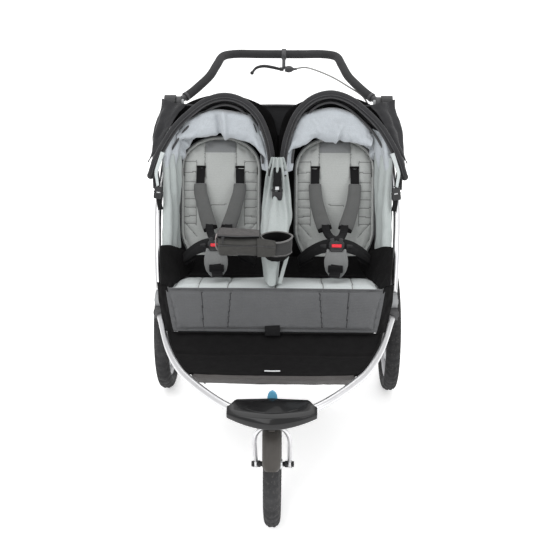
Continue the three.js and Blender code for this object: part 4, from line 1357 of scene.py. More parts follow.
def calf_panel():
    """The padded panel in front of the legs: it leans forward and narrows towards the footwell."""
    top, low = Vector((0, -0.1185, 0.5150)), Vector((0, -0.1660, 0.4085))
    ev = (top - low).normalized()
    length = (top - low).length
    ew = Vector((0, -ev.z, ev.y))
    rings, n = [], 16
    for k in range(n + 1):
        v = length * k / n
        half = 0.2660 + (0.2910 - 0.2660) * (v / length) ** 0.8
        base = low + ev * v
        rings.append([base + Vector((half * math.copysign(abs(math.cos(a)) ** 0.12, math.cos(a)), 0, 0))
                      + ew * (-0.0065 + 0.0048 * math.copysign(abs(math.sin(a)) ** 0.5, math.sin(a)))
                      for a in [2 * math.pi * (j + 0.5) / 64 for j in range(64)]])
    source = puffed(stitched(rings), 0.0055, 3.0, 0.006, 16)
    grooves = [([(s * 0.127, 0), (s * 0.118, length)], 0.0030, 0.007) for s in (-1, 1)]
    grooves += [([(s * 0.190, 0), (s * 0.197, length)], 0.0030, 0.007) for s in (-1, 1)]
    grooves += [([(-0.3, 0.008), (0.3, 0.008)], 0.0018, 0.005)]
    part, where = quilted(source, low, ((1, 0, 0), ev, ew), lambda v: 0.2705 + 0.0245 * (v / length) ** 0.8,
                          (0.001, length - 0.0005), (236, 48), grooves, 0.0020, 21.0)
    made = piece("calf_cushion", *part, [CALF, CALF_SEAM], "base", "seat_dark", ["calf_panel"])
    coloured(made, where, lambda u, v, d: 1 if d < 0.0014 and 0.012 < v < length - 0.01 else 0)
    tab = band([(-0.007, -0.1655, 0.428), (-0.006, -0.1735, 0.416), (-0.006, -0.1775, 0.404)], 0.040, 0.0022,
               (0, -0.9, 0.4), 12)
    piece("calf_pull_tab", *tab, WEB, "base", "black_mesh")
    edge = tube([low + Vector((x, 0, 0)) + ew * 0.0012 - ev * 0.002 for x in (-0.266, -0.13, 0, 0.13, 0.266)], 0.0022,
                120, 8)
    piece("calf_lower_piping", *edge, BLACK, "base", "black_mesh")
    rows = [
        [(0.3180, -0.096, 0.5240), (0.305, -0.106, 0.5200), (0.2890, -0.1140, 0.5170)],
        [(0.3150, -0.098, 0.4700), (0.300, -0.112, 0.4680), (0.2830, -0.1270, 0.4640)],
        [(0.3060, -0.112, 0.4250), (0.293, -0.127, 0.4230), (0.2760, -0.1450, 0.4220)],
        [(0.2970, -0.136, 0.3975), (0.284, -0.148, 0.3990), (0.2680, -0.1620, 0.4030)],
    ]
    part = drape(rows, 24, 50, lambda u, v: 0.003 * ripple(u * 0.1, v * 0.2, 0, 28, 2.0), 0.002)
    for made in pair("calf_side_cloth", part, BLACK, "base", "black_mesh"):
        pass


def footwell():
    edge = mm([[286, -157, 403], [273.5, -205, 389], [252.5, -264, 382], [226, -321, 375], [211, -341, 372.5]])
    rows = []
    for k, (x, y, z) in enumerate(edge):
        depth = (0.0, 0.007, 0.010, 0.008, 0.002)[k]
        rows.append([(-x, y, z), (-x * 0.62, y - 0.001, z - depth * 0.8), (0, y - 0.002 * k, z - depth),
                     (x * 0.62, y - 0.001, z - depth * 0.8), (x, y, z)])

    def fold(u, v):
        crease = 0.0045 * math.exp(-((v - 0.42 - 0.03 * math.cos(u * 6.28)) / 0.035) ** 2)
        pull = 0.0022 * math.sin(u * 60 + v * 8) * math.exp(-v / 0.12)
        return 0.0035 * ripple(u * 0.5, v * 0.3, 0.0, 9, 2.0) - crease + pull

    made = piece("footwell_floor", *drape(rows, 150, 60, fold, 0.0030), BLACK, "base", "black_mesh", ["footwell"])
    lip_rows = [
        [(-0.211, -0.337, 0.3740), (-0.19, -0.3440, 0.3750), (0, -0.3490, 0.3745), (0.19, -0.3440, 0.3750),
         (0.211, -0.337, 0.3740)],
        [(-0.207, -0.339, 0.3660), (-0.186, -0.3475, 0.3655), (0, -0.3530, 0.3655), (0.186, -0.3475, 0.3655),
         (0.207, -0.339, 0.3660)],
        [(-0.198, -0.334, 0.3460), (-0.180, -0.3410, 0.3470), (0, -0.3460, 0.3490), (0.180, -0.3410, 0.3450),
         (0.198, -0.334, 0.3430)],
    ]
    lip = drape(lip_rows, 130, 16, lambda u, v: 0.0016 * ripple(u * 0.5, v * 0.05, 0.3, 30, 4.0), 0.0022)
    made = piece("footwell_lip", *lip, TRIM, "base", "seat_dark")
    side = []
    for s in (-1, 1):
        side.append(tube([(s * x, y, z) for x, y, z in edge], 0.0034, 80, 8))
    hem = tube(lip_rows[0], 0.0018, 120, 8)
    points, faces = merge(*side, hem)
    piece("footwell_binding", points, faces, BLACK, "base", "black_mesh")
    strip = band([(-0.023, -0.3290, 0.3760), (-0.003, -0.3292, 0.3756), (0.017, -0.3290, 0.3760)], 0.0042, 0.0014,
                 (0, -0.25, 0.97), 16)
    piece("footwell_reflector", *strip, REFLECTOR_AND_HIGHLIGHT, "base", "black_mesh")


RIM_LINE = mm([[178, -322, 347], [232, -225, 356], [266, -100, 358], [268, 100, 358], [268, 285, 358]])
LOW_LINE = mm([[158, -272, 318], [192, -130, 244], [235, 20, 226], [238, 150, 226], [240, 272, 226]])


def basket():
    """A bag with net sides and a cloth floor that sags between its tapes."""
    rim = [(-x, y, z) for x, y, z in reversed(RIM_LINE)] + [(0.0, -0.324, 0.3470)] + list(RIM_LINE)
    low = [(-x, y, z) for x, y, z in reversed(LOW_LINE)] + [(0.0, -0.276, 0.3170)] + list(LOW_LINE)
    rows = [rim, [tuple(Vector(a).lerp(Vector(b), 0.5) * 1.0) for a, b in zip(rim, low)], low]

    def fold(u, v):
        return 0.004 * math.sin(v * math.pi) * (1 + ripple(u, v * 0.1, 0, 14, 3)) + 0.003 * ripple(u, v * 0.2, 0, 30, 6)

    made = piece("basket_net", *drape(rows, 260, 30, fold, 0.0026), NET, "base", "black_mesh", ["cargo_basket"])
    floor_rows = []
    for x, y, z in LOW_LINE:
        sag = 0.008 * math.sin(math.pi * min(1.0, max(0.0, (y + 0.272) / 0.544)))
        floor_rows.append([(-x - 0.001, y, z), (-x * 0.6, y, z - sag), (0, y, z - sag * 1.2), (x * 0.6, y, z - sag),
                           (x + 0.001, y, z)])
    made = piece("basket_floor_cloth", *drape(floor_rows, 90, 90, lambda u,
                                              v: 0.002 * ripple(u * 0.4, v * 0.5, 0, 14, 8), 0.0032),
                 BLACK, "base", "black_mesh")
    back = [[(-0.268, 0.285, 0.358), (0, 0.288, 0.355), (0.268, 0.285, 0.358)],
            [(-0.255, 0.280, 0.290), (0, 0.284, 0.285), (0.255, 0.280, 0.290)],
            [(-0.240, 0.272, 0.226), (0, 0.274, 0.222), (0.240, 0.272, 0.226)]]
    made = piece("basket_back_net", *drape(back, 90, 24, lambda u, v: -0.003 * ripple(u * 0.5, v * 0.1, 0, 16, 5),
                                           0.0026),
                 NET, "base", "black_mesh")
    tapes = [tube(rim + [(0.268, 0.287, 0.358), (0, 0.290, 0.355), (-0.268, 0.287, 0.358)], 0.0036, 300, 8),
             tube(low + [(0.240, 0.274, 0.226), (0, 0.276, 0.222), (-0.240, 0.274, 0.226)], 0.0026, 300, 8)]
    for s in (-1, 1):
        for a, b in ((RIM_LINE[1], LOW_LINE[1]), (RIM_LINE[3], LOW_LINE[3]), (RIM_LINE[4], LOW_LINE[4])):
            a, b = Vector((s * a[0], a[1], a[2])), Vector((s * b[0], b[1], b[2]))
            mid = (a + b) / 2 + Vector((s * 0.006, 0, 0))
            tapes.append(band([a, mid, b], 0.020, 0.0030, (s, 0, 0.2), 20))
    piece("basket_tapes", *merge(*tapes), WEB, "base", "black_mesh")


# ---------------------------------------------------------------- Snack tray
def tray():
    """A soft bin with a zipped lid, and a cup holder beside it."""
    rings, n = [], 36
    for k in range(n + 1):
        t = k / n
        end = min(1.0, min(t, 1 - t) * 9 + 0.42) ** 0.55
        sag = 0.0020 * math.sin(math.pi * t)
        ring = []
        for j in range(40):
            a = 2 * math.pi * j / 40
            c, s = math.cos(a), math.sin(a)
            y = -0.0940 + 0.0290 * end * math.copysign(abs(c) ** 0.42, c)
            z = 0.6340 + 0.0285 * end * math.copysign(abs(s) ** 0.42, s) - sag * (1.3 if s > 0 else -0.4)
            ring.append(Vector((-0.1535 + 0.1135 * t, y, z)))
        rings.append(ring)
    points, faces = puffed(stitched(rings), 0.0045, 3.0, 0.003, 12)
    moved = []
    for p in points:
        dent = 0.0024 * math.exp(-((p.z - 0.639) / 0.0022) ** 2) if p.y < -0.08 else 0.0
        moved.append(p + Vector((0, dent, 0)) + Vector((0, 1, 0.6)) * (0.0016 * ripple(p.x, p.y, p.z, 26, 2.0)))
    pieces = {"tray_bin": piece("tray_bin", moved, faces, TRAY, None)}
    lid_rows = [
        [(-0.150, -0.066, 0.6690), (-0.098, -0.064, 0.6665), (-0.045, -0.066, 0.6635)],
        [(-0.152, -0.092, 0.6700), (-0.098, -0.092, 0.6675), (-0.042, -0.092, 0.6655)],
        [(-0.152, -0.118, 0.6700), (-0.098, -0.120, 0.6680), (-0.042, -0.117, 0.6670)],
        [(-0.151, -0.1250, 0.6685), (-0.098, -0.1270, 0.6672), (-0.042, -0.1245, 0.6675)],
        [(-0.151, -0.1258, 0.6670), (-0.098, -0.1280, 0.6656), (-0.042, -0.1252, 0.6662)],
    ]
    lid = drape(lid_rows, 90, 34, lambda u, v: 0.0012 * ripple(u * 0.25, v * 0.08, 0.1, 34, 7.0), 0.0020)
    pieces["tray_lid"] = piece("tray_lid", *lid, LID, None)
    face_rows = [
        [(-0.047, -0.1250, 0.6600), (-0.020, -0.1292, 0.6570), (0.001, -0.1285, 0.6530)],
        [(-0.047, -0.1262, 0.6360), (-0.020, -0.1302, 0.6355), (0.002, -0.1292, 0.6350)],
        [(-0.047, -0.1235, 0.6070), (-0.020, -0.1275, 0.6085), (0.000, -0.1265, 0.6120)],
    ]
    face = drape(face_rows, 44, 40, lambda u, v: 0.0012 * ripple(u * 0.1, v * 0.1, 0.1, 34, 3.0), 0.0026)
    pieces["tray_front_face"] = piece("tray_front_face", *face, TRAY, None)
    seam = tube([(-0.151, -0.1235, 0.6390), (-0.098, -0.1255, 0.6380), (-0.045, -0.1262, 0.6385),
                 (-0.020, -0.1318, 0.6385),
                 (0.001, -0.1308, 0.6375)], 0.0011, 120, 8)
    hem = tube(lid_rows[4], 0.0014, 90, 8)
    pieces["tray_hems"] = piece("tray_hems", *merge(hem, seam), BINDING, None)
    zip_line = [(-0.150, -0.1254, 0.6635), (-0.098, -0.1272, 0.6622), (-0.042, -0.1250, 0.6630)]
    teeth = tube(zip_line, lambda t: 0.0012 + 0.0004 * math.sin(t * 2 * math.pi * 60), 400, 8)
    tape = band(zip_line, 0.0058, 0.0012, (0, -1, 0), 60)
    pieces["tray_zip"] = piece("tray_zip", *merge(teeth, tape), BLACK, None)
    puller = merge(
        block((-0.1405, -0.1300, 0.6600), (-0.1330, -0.1258, 0.6645), 0.0012),
        tube([(-0.1368, -0.1302, 0.6610), (-0.1370, -0.1312, 0.6540), (-0.1374, -0.1310, 0.6470)], (0.0022, 0.0009), 12,
             10,
             up=(0, -1, 0)),
    )
    pieces["tray_zip_pull"] = piece("tray_zip_pull", *puller, PLASTIC, None)

    centre, rows, cols = Vector((0.003, -0.084, 0)), 26, 96
    outer, inner = [], []
    for j in range(rows + 1):
        t = j / rows
        lens = smooth_step((t - 0.3) / 0.7)
        for store, wall in ((outer, 0.0), (inner, 0.0040)):
            ring = []
            for i in range(cols):
                a = 2 * math.pi * i / cols
                c, s = math.cos(a), math.sin(a)
                z = 0.5885 + 0.0635 * t - 0.0065 * lens * max(0.0, -s)
                r = 0.0415 * (0.60 + 0.40 * math.sin(min(1.0, t / 0.45) * math.pi / 2)) - wall
                fold = 0.0011 * ripple(c * 0.03, s * 0.03, z, 42, 3.0) + 0.0012 * math.sin(a * 9 + z * 120) * (1 - t)
                y = (r + fold) * (0.98 - 0.12 * lens) * math.copysign(abs(s) ** (1 + 0.45 * lens), s)
                ring.append(centre + Vector(((r + fold) * (1 + 0.03 * lens) * c, y, z)))
            store.append(ring)
    floor = [shrunk(inner[2], 0.6), shrunk(inner[2], 0.2)]
    base = [shrunk(outer[0], 0.2), shrunk(outer[0], 0.7), shrunk(outer[0], 0.95)]
    cup = stitched([*base, *outer, *reversed(inner[2:]), *floor])
    made = pieces["cup_holder"] = piece("cup_holder", *cup, [CUP, BLACK], None)
    for polygon in made.data.polygons:
        side = polygon.center - centre
        inside = polygon.normal.x * side.x + polygon.normal.y * side.y < 0 or side.z < 0.605
        polygon.material_index = 1 if inside else 0
    rim = tube([*outer[-1][::4], outer[-1][0]], 0.0025, 160, 8)
    belt = [Vector((centre.x + (p.x - centre.x) * 1.015, centre.y + (p.y - centre.y) * 1.015, p.z)) for p in outer[9]]
    seam = tube([*belt[::4], belt[0]], 0.0011, 160, 6)
    pieces["cup_holder_binding"] = piece("cup_holder_binding", *merge(rim, seam), CUP_EDGE, None)
    loop = band([(-0.1530, -0.116, 0.6655), (-0.1565, -0.113, 0.659), (-0.1575, -0.110, 0.645),
                 (-0.1565, -0.106, 0.632),
                 (-0.1525, -0.102, 0.622)], 0.014, 0.0020, (-1, 0, 0.1), 30)
    pieces["tray_end_loop"] = piece("tray_end_loop", *loop, LOOP, None)
    for name, made in pieces.items():
        place(made, "base", "hood_fabric", ["snack_tray"] if name == "tray_bin" else [])
        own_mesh(made)


# ---------------------------------------------------------------- Side panels, wings and the centre column
def sides():
    rows = [
        [(0.3060, -0.112, 0.5200), (0.3120, -0.060, 0.5380), (0.3190, -0.010, 0.5560), (0.3240, 0.040, 0.5760)],
        [(0.2980, -0.106, 0.5160), (0.2980, -0.045, 0.5240), (0.3010, 0.010, 0.5400), (0.3030, 0.066, 0.5680)],
        [(0.2920, -0.100, 0.5080), (0.2840, -0.025, 0.5040), (0.2760, 0.045, 0.5080), (0.2660, 0.100, 0.5420)],
        [(0.2895, -0.098, 0.4990), (0.2780, -0.005, 0.4860), (0.2580, 0.060, 0.4800), (0.2400, 0.118, 0.4980)],
    ]

    def fold(u, v):
        return -0.004 * ripple(u * 0.3, v * 0.2, 0.1, 12, 5.0) - 0.0016 * math.sin(u * 26 + v * 9) * v

    for made in pair("hip_panel", drape(rows, 70, 40, fold, 0.0028), BLACK, "base", "black_mesh", ["side_panel_@"]):
        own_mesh(made)
    for made in pair("hip_panel_hem", merge(tube(rows[0], 0.0030, 60, 8)), BLACK, "base", "black_mesh"):
        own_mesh(made)

    for (side, sign), seed in zip(SIDES, (2.0, 8.0)):
        rows = [
            [(0.3285, 0.190, 0.792), (0.311, 0.184, 0.798), (0.298, 0.204, 0.802), (0.283, 0.228, 0.806)],
            [(0.3275, 0.166, 0.730), (0.310, 0.158, 0.732), (0.297, 0.178, 0.734), (0.283, 0.212, 0.735)],
            [(0.3265, 0.130, 0.665), (0.308, 0.126, 0.665), (0.296, 0.152, 0.665), (0.284, 0.192, 0.665)],
            [(0.3255, 0.094, 0.598), (0.308, 0.098, 0.596), (0.297, 0.124, 0.594), (0.286, 0.168, 0.592)],
            [(0.3240, 0.062, 0.540), (0.306, 0.074, 0.538), (0.296, 0.104, 0.536), (0.285, 0.146, 0.534)],
        ]

        def fold(u, v, seed=seed):
            run = 0.0038 * math.sin(u * 15 + 1.2 * math.sin(v * 4 + seed) + seed)
            return run + 0.0030 * ripple(u * 0.2, v * 0.3, 0.0, 22, seed)

        part = drape(rows, 60, 80, fold, 0.0016)
        made = piece(f"side_wing_cloth_{side}", *(part if sign > 0 else flipped(part)), SIDE, "upper_frame",
                     "seat_light",
                     [f"side_wing_{side}"])
        hem = tube(rows[4], 0.0018, 40, 8)
        back = tube([row[3] for row in rows], 0.0020, 80, 8)
        points, faces = merge(hem, back)
        points, faces = (points, faces) if sign > 0 else flipped((points, faces))
        piece(f"side_wing_binding_{side}", points, faces, THREAD, "upper_frame", "seat_dark")


def column():
    """The gathered cloth between the two seats, from the middle of the hoods down to the bench."""
    rows = [
        [(-0.016, 0.172, 0.800), (-0.006, 0.160, 0.802), (0.004, 0.158, 0.802), (0.016, 0.172, 0.800)],
        [(-0.028, 0.176, 0.755), (-0.012, 0.162, 0.758), (0.012, 0.160, 0.758), (0.029, 0.176, 0.755)],
        [(-0.036, 0.178, 0.700), (-0.015, 0.158, 0.700), (0.017, 0.157, 0.700), (0.038, 0.176, 0.700)],
        [(-0.040, 0.152, 0.648), (-0.018, 0.030, 0.642), (0.016, 0.030, 0.642), (0.041, 0.150, 0.648)],
        [(-0.040, 0.100, 0.600), (-0.020, -0.052, 0.600), (0.006, -0.052, 0.600), (0.026, 0.040, 0.602)],
        [(-0.040, 0.048, 0.556), (-0.022, -0.060, 0.566), (0.000, -0.060, 0.566), (0.010, -0.010, 0.556)],
        [(-0.036, -0.004, 0.522), (-0.020, -0.072, 0.542), (-0.002, -0.072, 0.542), (0.007, -0.040, 0.522)],
        [(-0.031, -0.050, 0.5145), (-0.016, -0.106, 0.5185), (-0.004, -0.106, 0.5185), (0.005, -0.080, 0.5145)],
    ]

    def fold(u, v):
        wave = math.sin(u * 27 + 1.6 * math.sin(v * 5) + 2 * v)
        pleat = 0.0056 * math.copysign(abs(wave) ** 0.7, wave) * (0.35 + 0.65 * math.sin(math.pi * min(1, v + 0.12)))
        return pleat * (1 - 0.5 * smooth_step((v - 0.6) / 0.2)) + 0.003 * ripple(u * 0.2, v * 0.4, 0.0, 20, 6.0)

    made = piece("centre_column_cloth", *drape(rows, 110, 140, fold, 0.0016), SIDE, None)
    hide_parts("seat_divider")
    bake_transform(made)
    strip = band([(0.036, -0.056, 0.612), (0.031, -0.036, 0.578), (0.019, -0.066, 0.542), (0.012, -0.094, 0.5190)],
                 0.0105, 0.0020, (0.35, -1, 0.2), 30)
    made = piece("column_side_strip", *strip, SIDE, "base", "seat_light")
    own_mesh(made)


# ---------------------------------------------------------------- Hoods
HOOP = mm([
    [362.5, 0, 0], [347, 0, 45], [323, 0, 90], [290, 0, 140], [250, 0, 180], [203, 0, 215], [150, 0, 230],
    [98, 0, 216], [55, 0, 175], [29, 0, 115], [17, 0, 55], [14, 0, 0],
])
HOOP_LINE = [Vector((x, 0.175 + 0.12 * up, 0.745 + up)) for x, _, up in HOOP]
MIDDLE = Vector((0.188, 0.175, 0.745))


def ring_at(inset, back=0.0, drop=0.0, n=120, low=1.0):
    """The hoop's line moved inwards, back and down. low is the height of its top, as a share."""
    line = [Vector((p.x, p.y, 0.745 + (p.z - 0.745) * low)) for p in curve(HOOP_LINE, n)]
    out = []
    for i, p in enumerate(line):
        t = (line[min(i + 1, n)] - line[max(i - 1, 0)]).normalized()
        side = Vector((t.z, 0, -t.x))
        if side.dot(p - MIDDLE) > 0:
            side = -side
        out.append(p + side * inset + Vector((0, back, -drop)))
    return out


def hoods():
    for (side, sign), seed in zip(SIDES, (1.0, 6.0)):
        hood = f"hood_{side}"
        lean = 0.965 if side == "left" else 1.0

        def put(name, part, material, body=None, slot="hood_fabric", replaces=()):
            return piece(name + "_" + side, *(part if sign > 0 else flipped(part)), material, body, slot, replaces)

        n = 150
        line = ring_at(0.0, n=n, low=lean)
        sleeve = tube(line[::3], lambda t: (0.0100, 0.0082 + 0.0006 * math.sin(t * 90 + seed)), 150, 20,
                      up=lambda t: (0, -1, 0.12))
        put("hood_bow_sleeve", sleeve, HOOD, hood, "hood_fabric", [f"canopy_bow_{side}"])
        edge = ring_at(0.0098, -0.0052, n=n, low=lean)
        put("hood_bow_piping", tube(edge[::3], 0.0021, 200, 8), BINDING, hood)
        crease = ring_at(0.0015, -0.0088, n=n, low=lean)
        put("hood_bow_stitching", tube(crease[::3], 0.0010, 200, 6), BINDING, hood)
        inner = ring_at(0.0270, 0.012, n=n, low=lean)[10:-8]
        put("hood_inner_bow", tube(inner[::3], (0.0034, 0.0052), 150, 12, up=lambda t: (0, -1, 0.12)), BINDING, hood)
        tips = [ball(line[0] + Vector((0.001, 0, -0.002)), 0.0105), ball(line[-1] + Vector((0, 0, 0.002)), 0.0095)]
        put("hood_bow_ends", merge(*tips), PLASTIC, hood, "black_plastic")

        cols, rows = 150, 40
        outer = ring_at(0.0, n=cols, low=lean)

        def shell(u, v, inset=0.0, seed=seed):
            p = outer[round(u * cols)]
            up = p.z - 0.745
            y = p.y + (0.296 - p.y) * v
            flare = smooth_step((p.x - 0.29) / 0.06) * smooth_step(v / 0.35)
            x = p.x + (flare * (0.0120 + 0.0060 * smooth_step((0.13 - up) / 0.10))
                       * (1 - 0.35 * smooth_step((0.03 - up) / 0.03)))
            z = 0.745 + up * (1 - 0.14 * v)
            arcing = math.sin(math.pi * min(1, max(0, (up - 0.01) / 0.2)) / 2)
            pleat = 0.0062 * math.sin(v * 2 * math.pi * 3.3 + 0.9 * math.sin(u * 7 + seed)) * arcing
            pleat += 0.0065 * ripple(u * 0.6, v * 0.12, 0.0, 13, seed) * arcing
            sink = -0.007 * math.sin(math.pi * v)
            away_from = Vector((x - MIDDLE.x, 0, z - MIDDLE.z)).normalized()
            reach = min(pleat + sink, 0.0012) - inset
            if x > 0.33:
                reach = min(max(reach, -0.004), 0.003)
            if x < 0.03:
                reach = min(0.0, reach * 0.4)
            return Vector((x, y, z)) + away_from * reach

        start = 0.03
        cloth = sheet_grid(lambda u, v: shell(u, start + (1 - start) * v), cols, rows, 0.0018)
        made = put("hood_shell", cloth, HOOD)
        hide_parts(f"canopy_fabric_{side}")
        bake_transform(made)
        hem = tube([shell(i / 50, 1.0, 0.001) for i in range(51)], 0.0028, 150, 8)
        put("hood_back_hem", hem, BINDING, "upper_frame")

        curtain_rows = []
        back = [shell(i / 60, 0.97, 0.004) for i in range(61)][6:56]
        for k, t in enumerate((0.0, 0.35, 0.7, 1.0)):
            row = []
            for p in back[::5] + [back[-1]]:
                aim = Vector((MIDDLE.x + (p.x - MIDDLE.x) * 0.74, 0.300, 0.755 + (p.z - 0.755) * 0.42))
                row.append(p.lerp(aim, t) + Vector((0, 0.002 * k, 0)))
            curtain_rows.append(row)
        curtain = drape(curtain_rows, 90, 40, lambda u, v: 0.004 * math.sin(u * 44 + seed) * v
                        + 0.004 * ripple(u * 0.4, v * 0.1, 0, 16, seed), 0.0018)
        made = put("hood_rear_curtain", curtain, HOOD, "upper_frame")

        lining(side, seed, put)


def lining(side, seed, put):
    """The pale lining that is bunched up across the top of the seat and hangs down at both sides."""
    if side == "left":
        top = [(0.038, 0.205, 0.812), (0.056, 0.206, 0.872), (0.078, 0.204, 0.905), (0.118, 0.200, 0.914),
               (0.172, 0.196, 0.921), (0.215, 0.202, 0.913), (0.256, 0.207, 0.894), (0.288, 0.212, 0.862)]
        low = [(0.028, 0.186, 0.784), (0.048, 0.192, 0.805), (0.076, 0.198, 0.832), (0.112, 0.202, 0.844),
               (0.150, 0.203, 0.852), (0.200, 0.204, 0.851), (0.246, 0.204, 0.846), (0.286, 0.204, 0.838)]
    else:
        top = [(0.034, 0.206, 0.828), (0.048, 0.206, 0.872), (0.070, 0.204, 0.906), (0.112, 0.200, 0.921),
               (0.160, 0.198, 0.927), (0.208, 0.202, 0.914), (0.244, 0.207, 0.888), (0.272, 0.212, 0.850)]
        low = [(0.030, 0.188, 0.806), (0.052, 0.192, 0.822), (0.082, 0.196, 0.833), (0.114, 0.200, 0.848),
               (0.142, 0.201, 0.838), (0.190, 0.202, 0.836), (0.232, 0.202, 0.832), (0.266, 0.203, 0.824)]
    rows = [
        [Vector(p) + Vector((0, 0.030, 0.004)) for p in top],
        top,
        [Vector(a).lerp(Vector(b), 0.4) + Vector((0, -0.007, 0)) for a, b in zip(top, low)],
        [Vector(a).lerp(Vector(b), 0.8) + Vector((0, -0.009, 0)) for a, b in zip(top, low)],
        low,
        [Vector(p) + Vector((0, 0.018, 0.0035)) for p in low],
    ]

    def tongue(u, v):
        """The tall fold, deep at the hem and shallow at the top."""
        at = 0.545 + 0.055 * (1 - v)
        ridge = math.exp(-((u - at + 0.045) / 0.030) ** 2) - 0.95 * math.exp(-((u - at - 0.010) / 0.024) ** 2)
        slope = 0.55 * math.exp(-((u - 0.30 - 0.10 * v) / 0.05) ** 2) * (1 - v)
        return 0.0105 * ridge * smooth_step((v - 0.10) / 0.25) + 0.006 * slope

    def tuck(u, v):
        """Two short folds above the hem, and a notch in it."""
        tent = 1 - min(1.0, abs(u - 0.64) / (0.02 + 0.085 * max(0.0, v - 0.45)))
        groove = -0.006 * max(0.0, tent) * smooth_step((v - 0.45) / 0.2)
        ridge = 0.006 * math.exp(-((u - 0.72 + 0.14 * v) / 0.018) ** 2) * smooth_step((v - 0.4) / 0.2)
        hollow = -0.006 * math.exp(-((u - 0.34) / 0.05) ** 2) * smooth_step((v - 0.62) / 0.25)
        return groove + ridge + hollow + 0.005 * math.exp(-((u - 0.46) / 0.11) ** 2) * math.sin(math.pi * v)

    def fold(u, v):
        big = tongue(u, v) if side == "left" else tuck(u, v)
        crinkle = 0.0042 * ripple(u * 0.35 + v * 0.05, v * 0.12, 0.0, 15, seed)
        crinkle += 0.0016 * ripple(u * 0.5 - v * 0.1, v * 0.2, 0.0, 46, seed + 3)
        diagonal = 0.0022 * math.sin((u * 2.2 + v) * 12 + seed) * smooth_step((abs(u - 0.5) - 0.2) / 0.25)
        return (big + crinkle + diagonal) * smooth_step(v / 0.2)

    made = put("hood_lining", drape(rows, 150, 70, fold, 0.0014), FLAP, "upper_frame", "seat_pale")

    outer = [
        [(0.322, 0.196, 0.835), (0.308, 0.196, 0.852), (0.290, 0.206, 0.866), (0.272, 0.222, 0.872)],
        [(0.3275, 0.190, 0.812), (0.310, 0.186, 0.822), (0.291, 0.202, 0.832), (0.270, 0.226, 0.838)],
        [(0.3290, 0.186, 0.792), (0.312, 0.180, 0.792), (0.293, 0.200, 0.796), (0.276, 0.224, 0.800)],
        [(0.3250, 0.182, 0.772), (0.313, 0.175, 0.760), (0.300, 0.196, 0.758), (0.288, 0.218, 0.768)],
    ]

    def loose(u, v):
        return (0.0048 * math.sin(u * 13 + 2 * v + seed) + 0.0046 * ripple(u * 0.2, v * 0.15, 0, 32,
                                                                           seed)) * (0.4 + 0.6 * v)

    made = put("hood_lining_outer", drape(outer, 60, 60, loose, 0.0014), FLAP, "upper_frame", "seat_pale")
    inner = [
        [(0.056, 0.214, 0.880), (0.043, 0.204, 0.862), (0.033, 0.200, 0.846), (0.024, 0.204, 0.835)],
        [(0.050, 0.216, 0.838), (0.038, 0.198, 0.824), (0.026, 0.192, 0.812), (0.016, 0.196, 0.803)],
        [(0.047, 0.214, 0.800), (0.034, 0.190, 0.790), (0.021, 0.183, 0.782), (0.009, 0.182, 0.776)],
        [(0.044, 0.206, 0.762), (0.032, 0.184, 0.752), (0.020, 0.172, 0.748), (0.008, 0.166, 0.750)],
    ]
    made = put("hood_lining_inner", drape(inner, 50, 70, loose, 0.0014), FLAP, "upper_frame", "seat_pale")
    lip = [
        [(0.284, 0.222, 0.846), (0.296, 0.214, 0.822), (0.300, 0.212, 0.790)],
        [(0.262, 0.226, 0.846), (0.278, 0.220, 0.818), (0.286, 0.218, 0.788)],
        [(0.240, 0.236, 0.838), (0.262, 0.232, 0.806), (0.274, 0.228, 0.776)],
    ]
    part = drape([list(reversed(r)) for r in lip], 50, 40, loose, 0.0014)
    made = put("hood_lining_corner", part, FLAP, "upper_frame", "seat_pale")


def shoulder_cloth():
    """The hood's outer cloth, from the frame's shoulder forwards to the end of its bow."""
    outer = [(0.337, 0.285, 0.943), (0.339, 0.275, 0.916), (0.353, 0.262, 0.882), (0.3603, 0.245, 0.854),
             (0.3617, 0.230, 0.828),
             (0.3620, 0.206, 0.804), (0.3690, 0.182, 0.783)]
    inner = [(0.2625, 0.262, 0.930), (0.287, 0.240, 0.908), (0.307, 0.222, 0.877), (0.3255, 0.207, 0.847),
             (0.342, 0.195, 0.817),
             (0.358, 0.187, 0.796), (0.368, 0.180, 0.783)]
    rows = [[a, Vector(a).lerp(Vector(b), 0.5) - Vector((0, 0.008, 0)), b] for a, b in zip(inner, outer)]
    for (side, sign), seed in zip(SIDES, (1.0, 5.0)):
        def fold(u, v, seed=seed):
            wave = 0.0050 * math.sin(u * 8 + seed + 3 * v) * math.sin(math.pi * u) + 0.003 * ripple(u * 0.2, v * 0.4, 0,
                                                                                                    20, seed)
            return wave * smooth_step((0.92 - v) / 0.4)

        part = drape(rows, 50, 90, fold, 0.0018)
        made = piece(f"hood_shoulder_cloth_{side}", *(part if sign > 0 else flipped(part)), HOOD, None)
        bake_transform(made)


def centre_drop():
    """The black cloth behind the middle of the two seats."""
    rows = [
        [(-0.060, 0.3100, 0.830), (0, 0.3090, 0.830), (0.060, 0.3100, 0.830)],
        [(-0.047, 0.2850, 0.760), (0, 0.2790, 0.760), (0.047, 0.2850, 0.760)],
        [(-0.0455, 0.2420, 0.660), (0, 0.2370, 0.660), (0.0455, 0.2420, 0.660)],
        [(-0.0455, 0.1950, 0.560), (0, 0.1890, 0.560), (0.0455, 0.1950, 0.560)],
        [(-0.0460, 0.1480, 0.470), (0, 0.1420, 0.470), (0.0460, 0.1480, 0.470)],
    ]
    part = drape(rows, 30, 90, lambda u, v: 0.003 * math.sin(u * 12) + 0.003 * ripple(u * 0.1, v * 0.4, 0, 24, 1.0),
                 0.002)
    made = piece("centre_back_cloth", *part, BLACK, "upper_frame", "black_mesh")


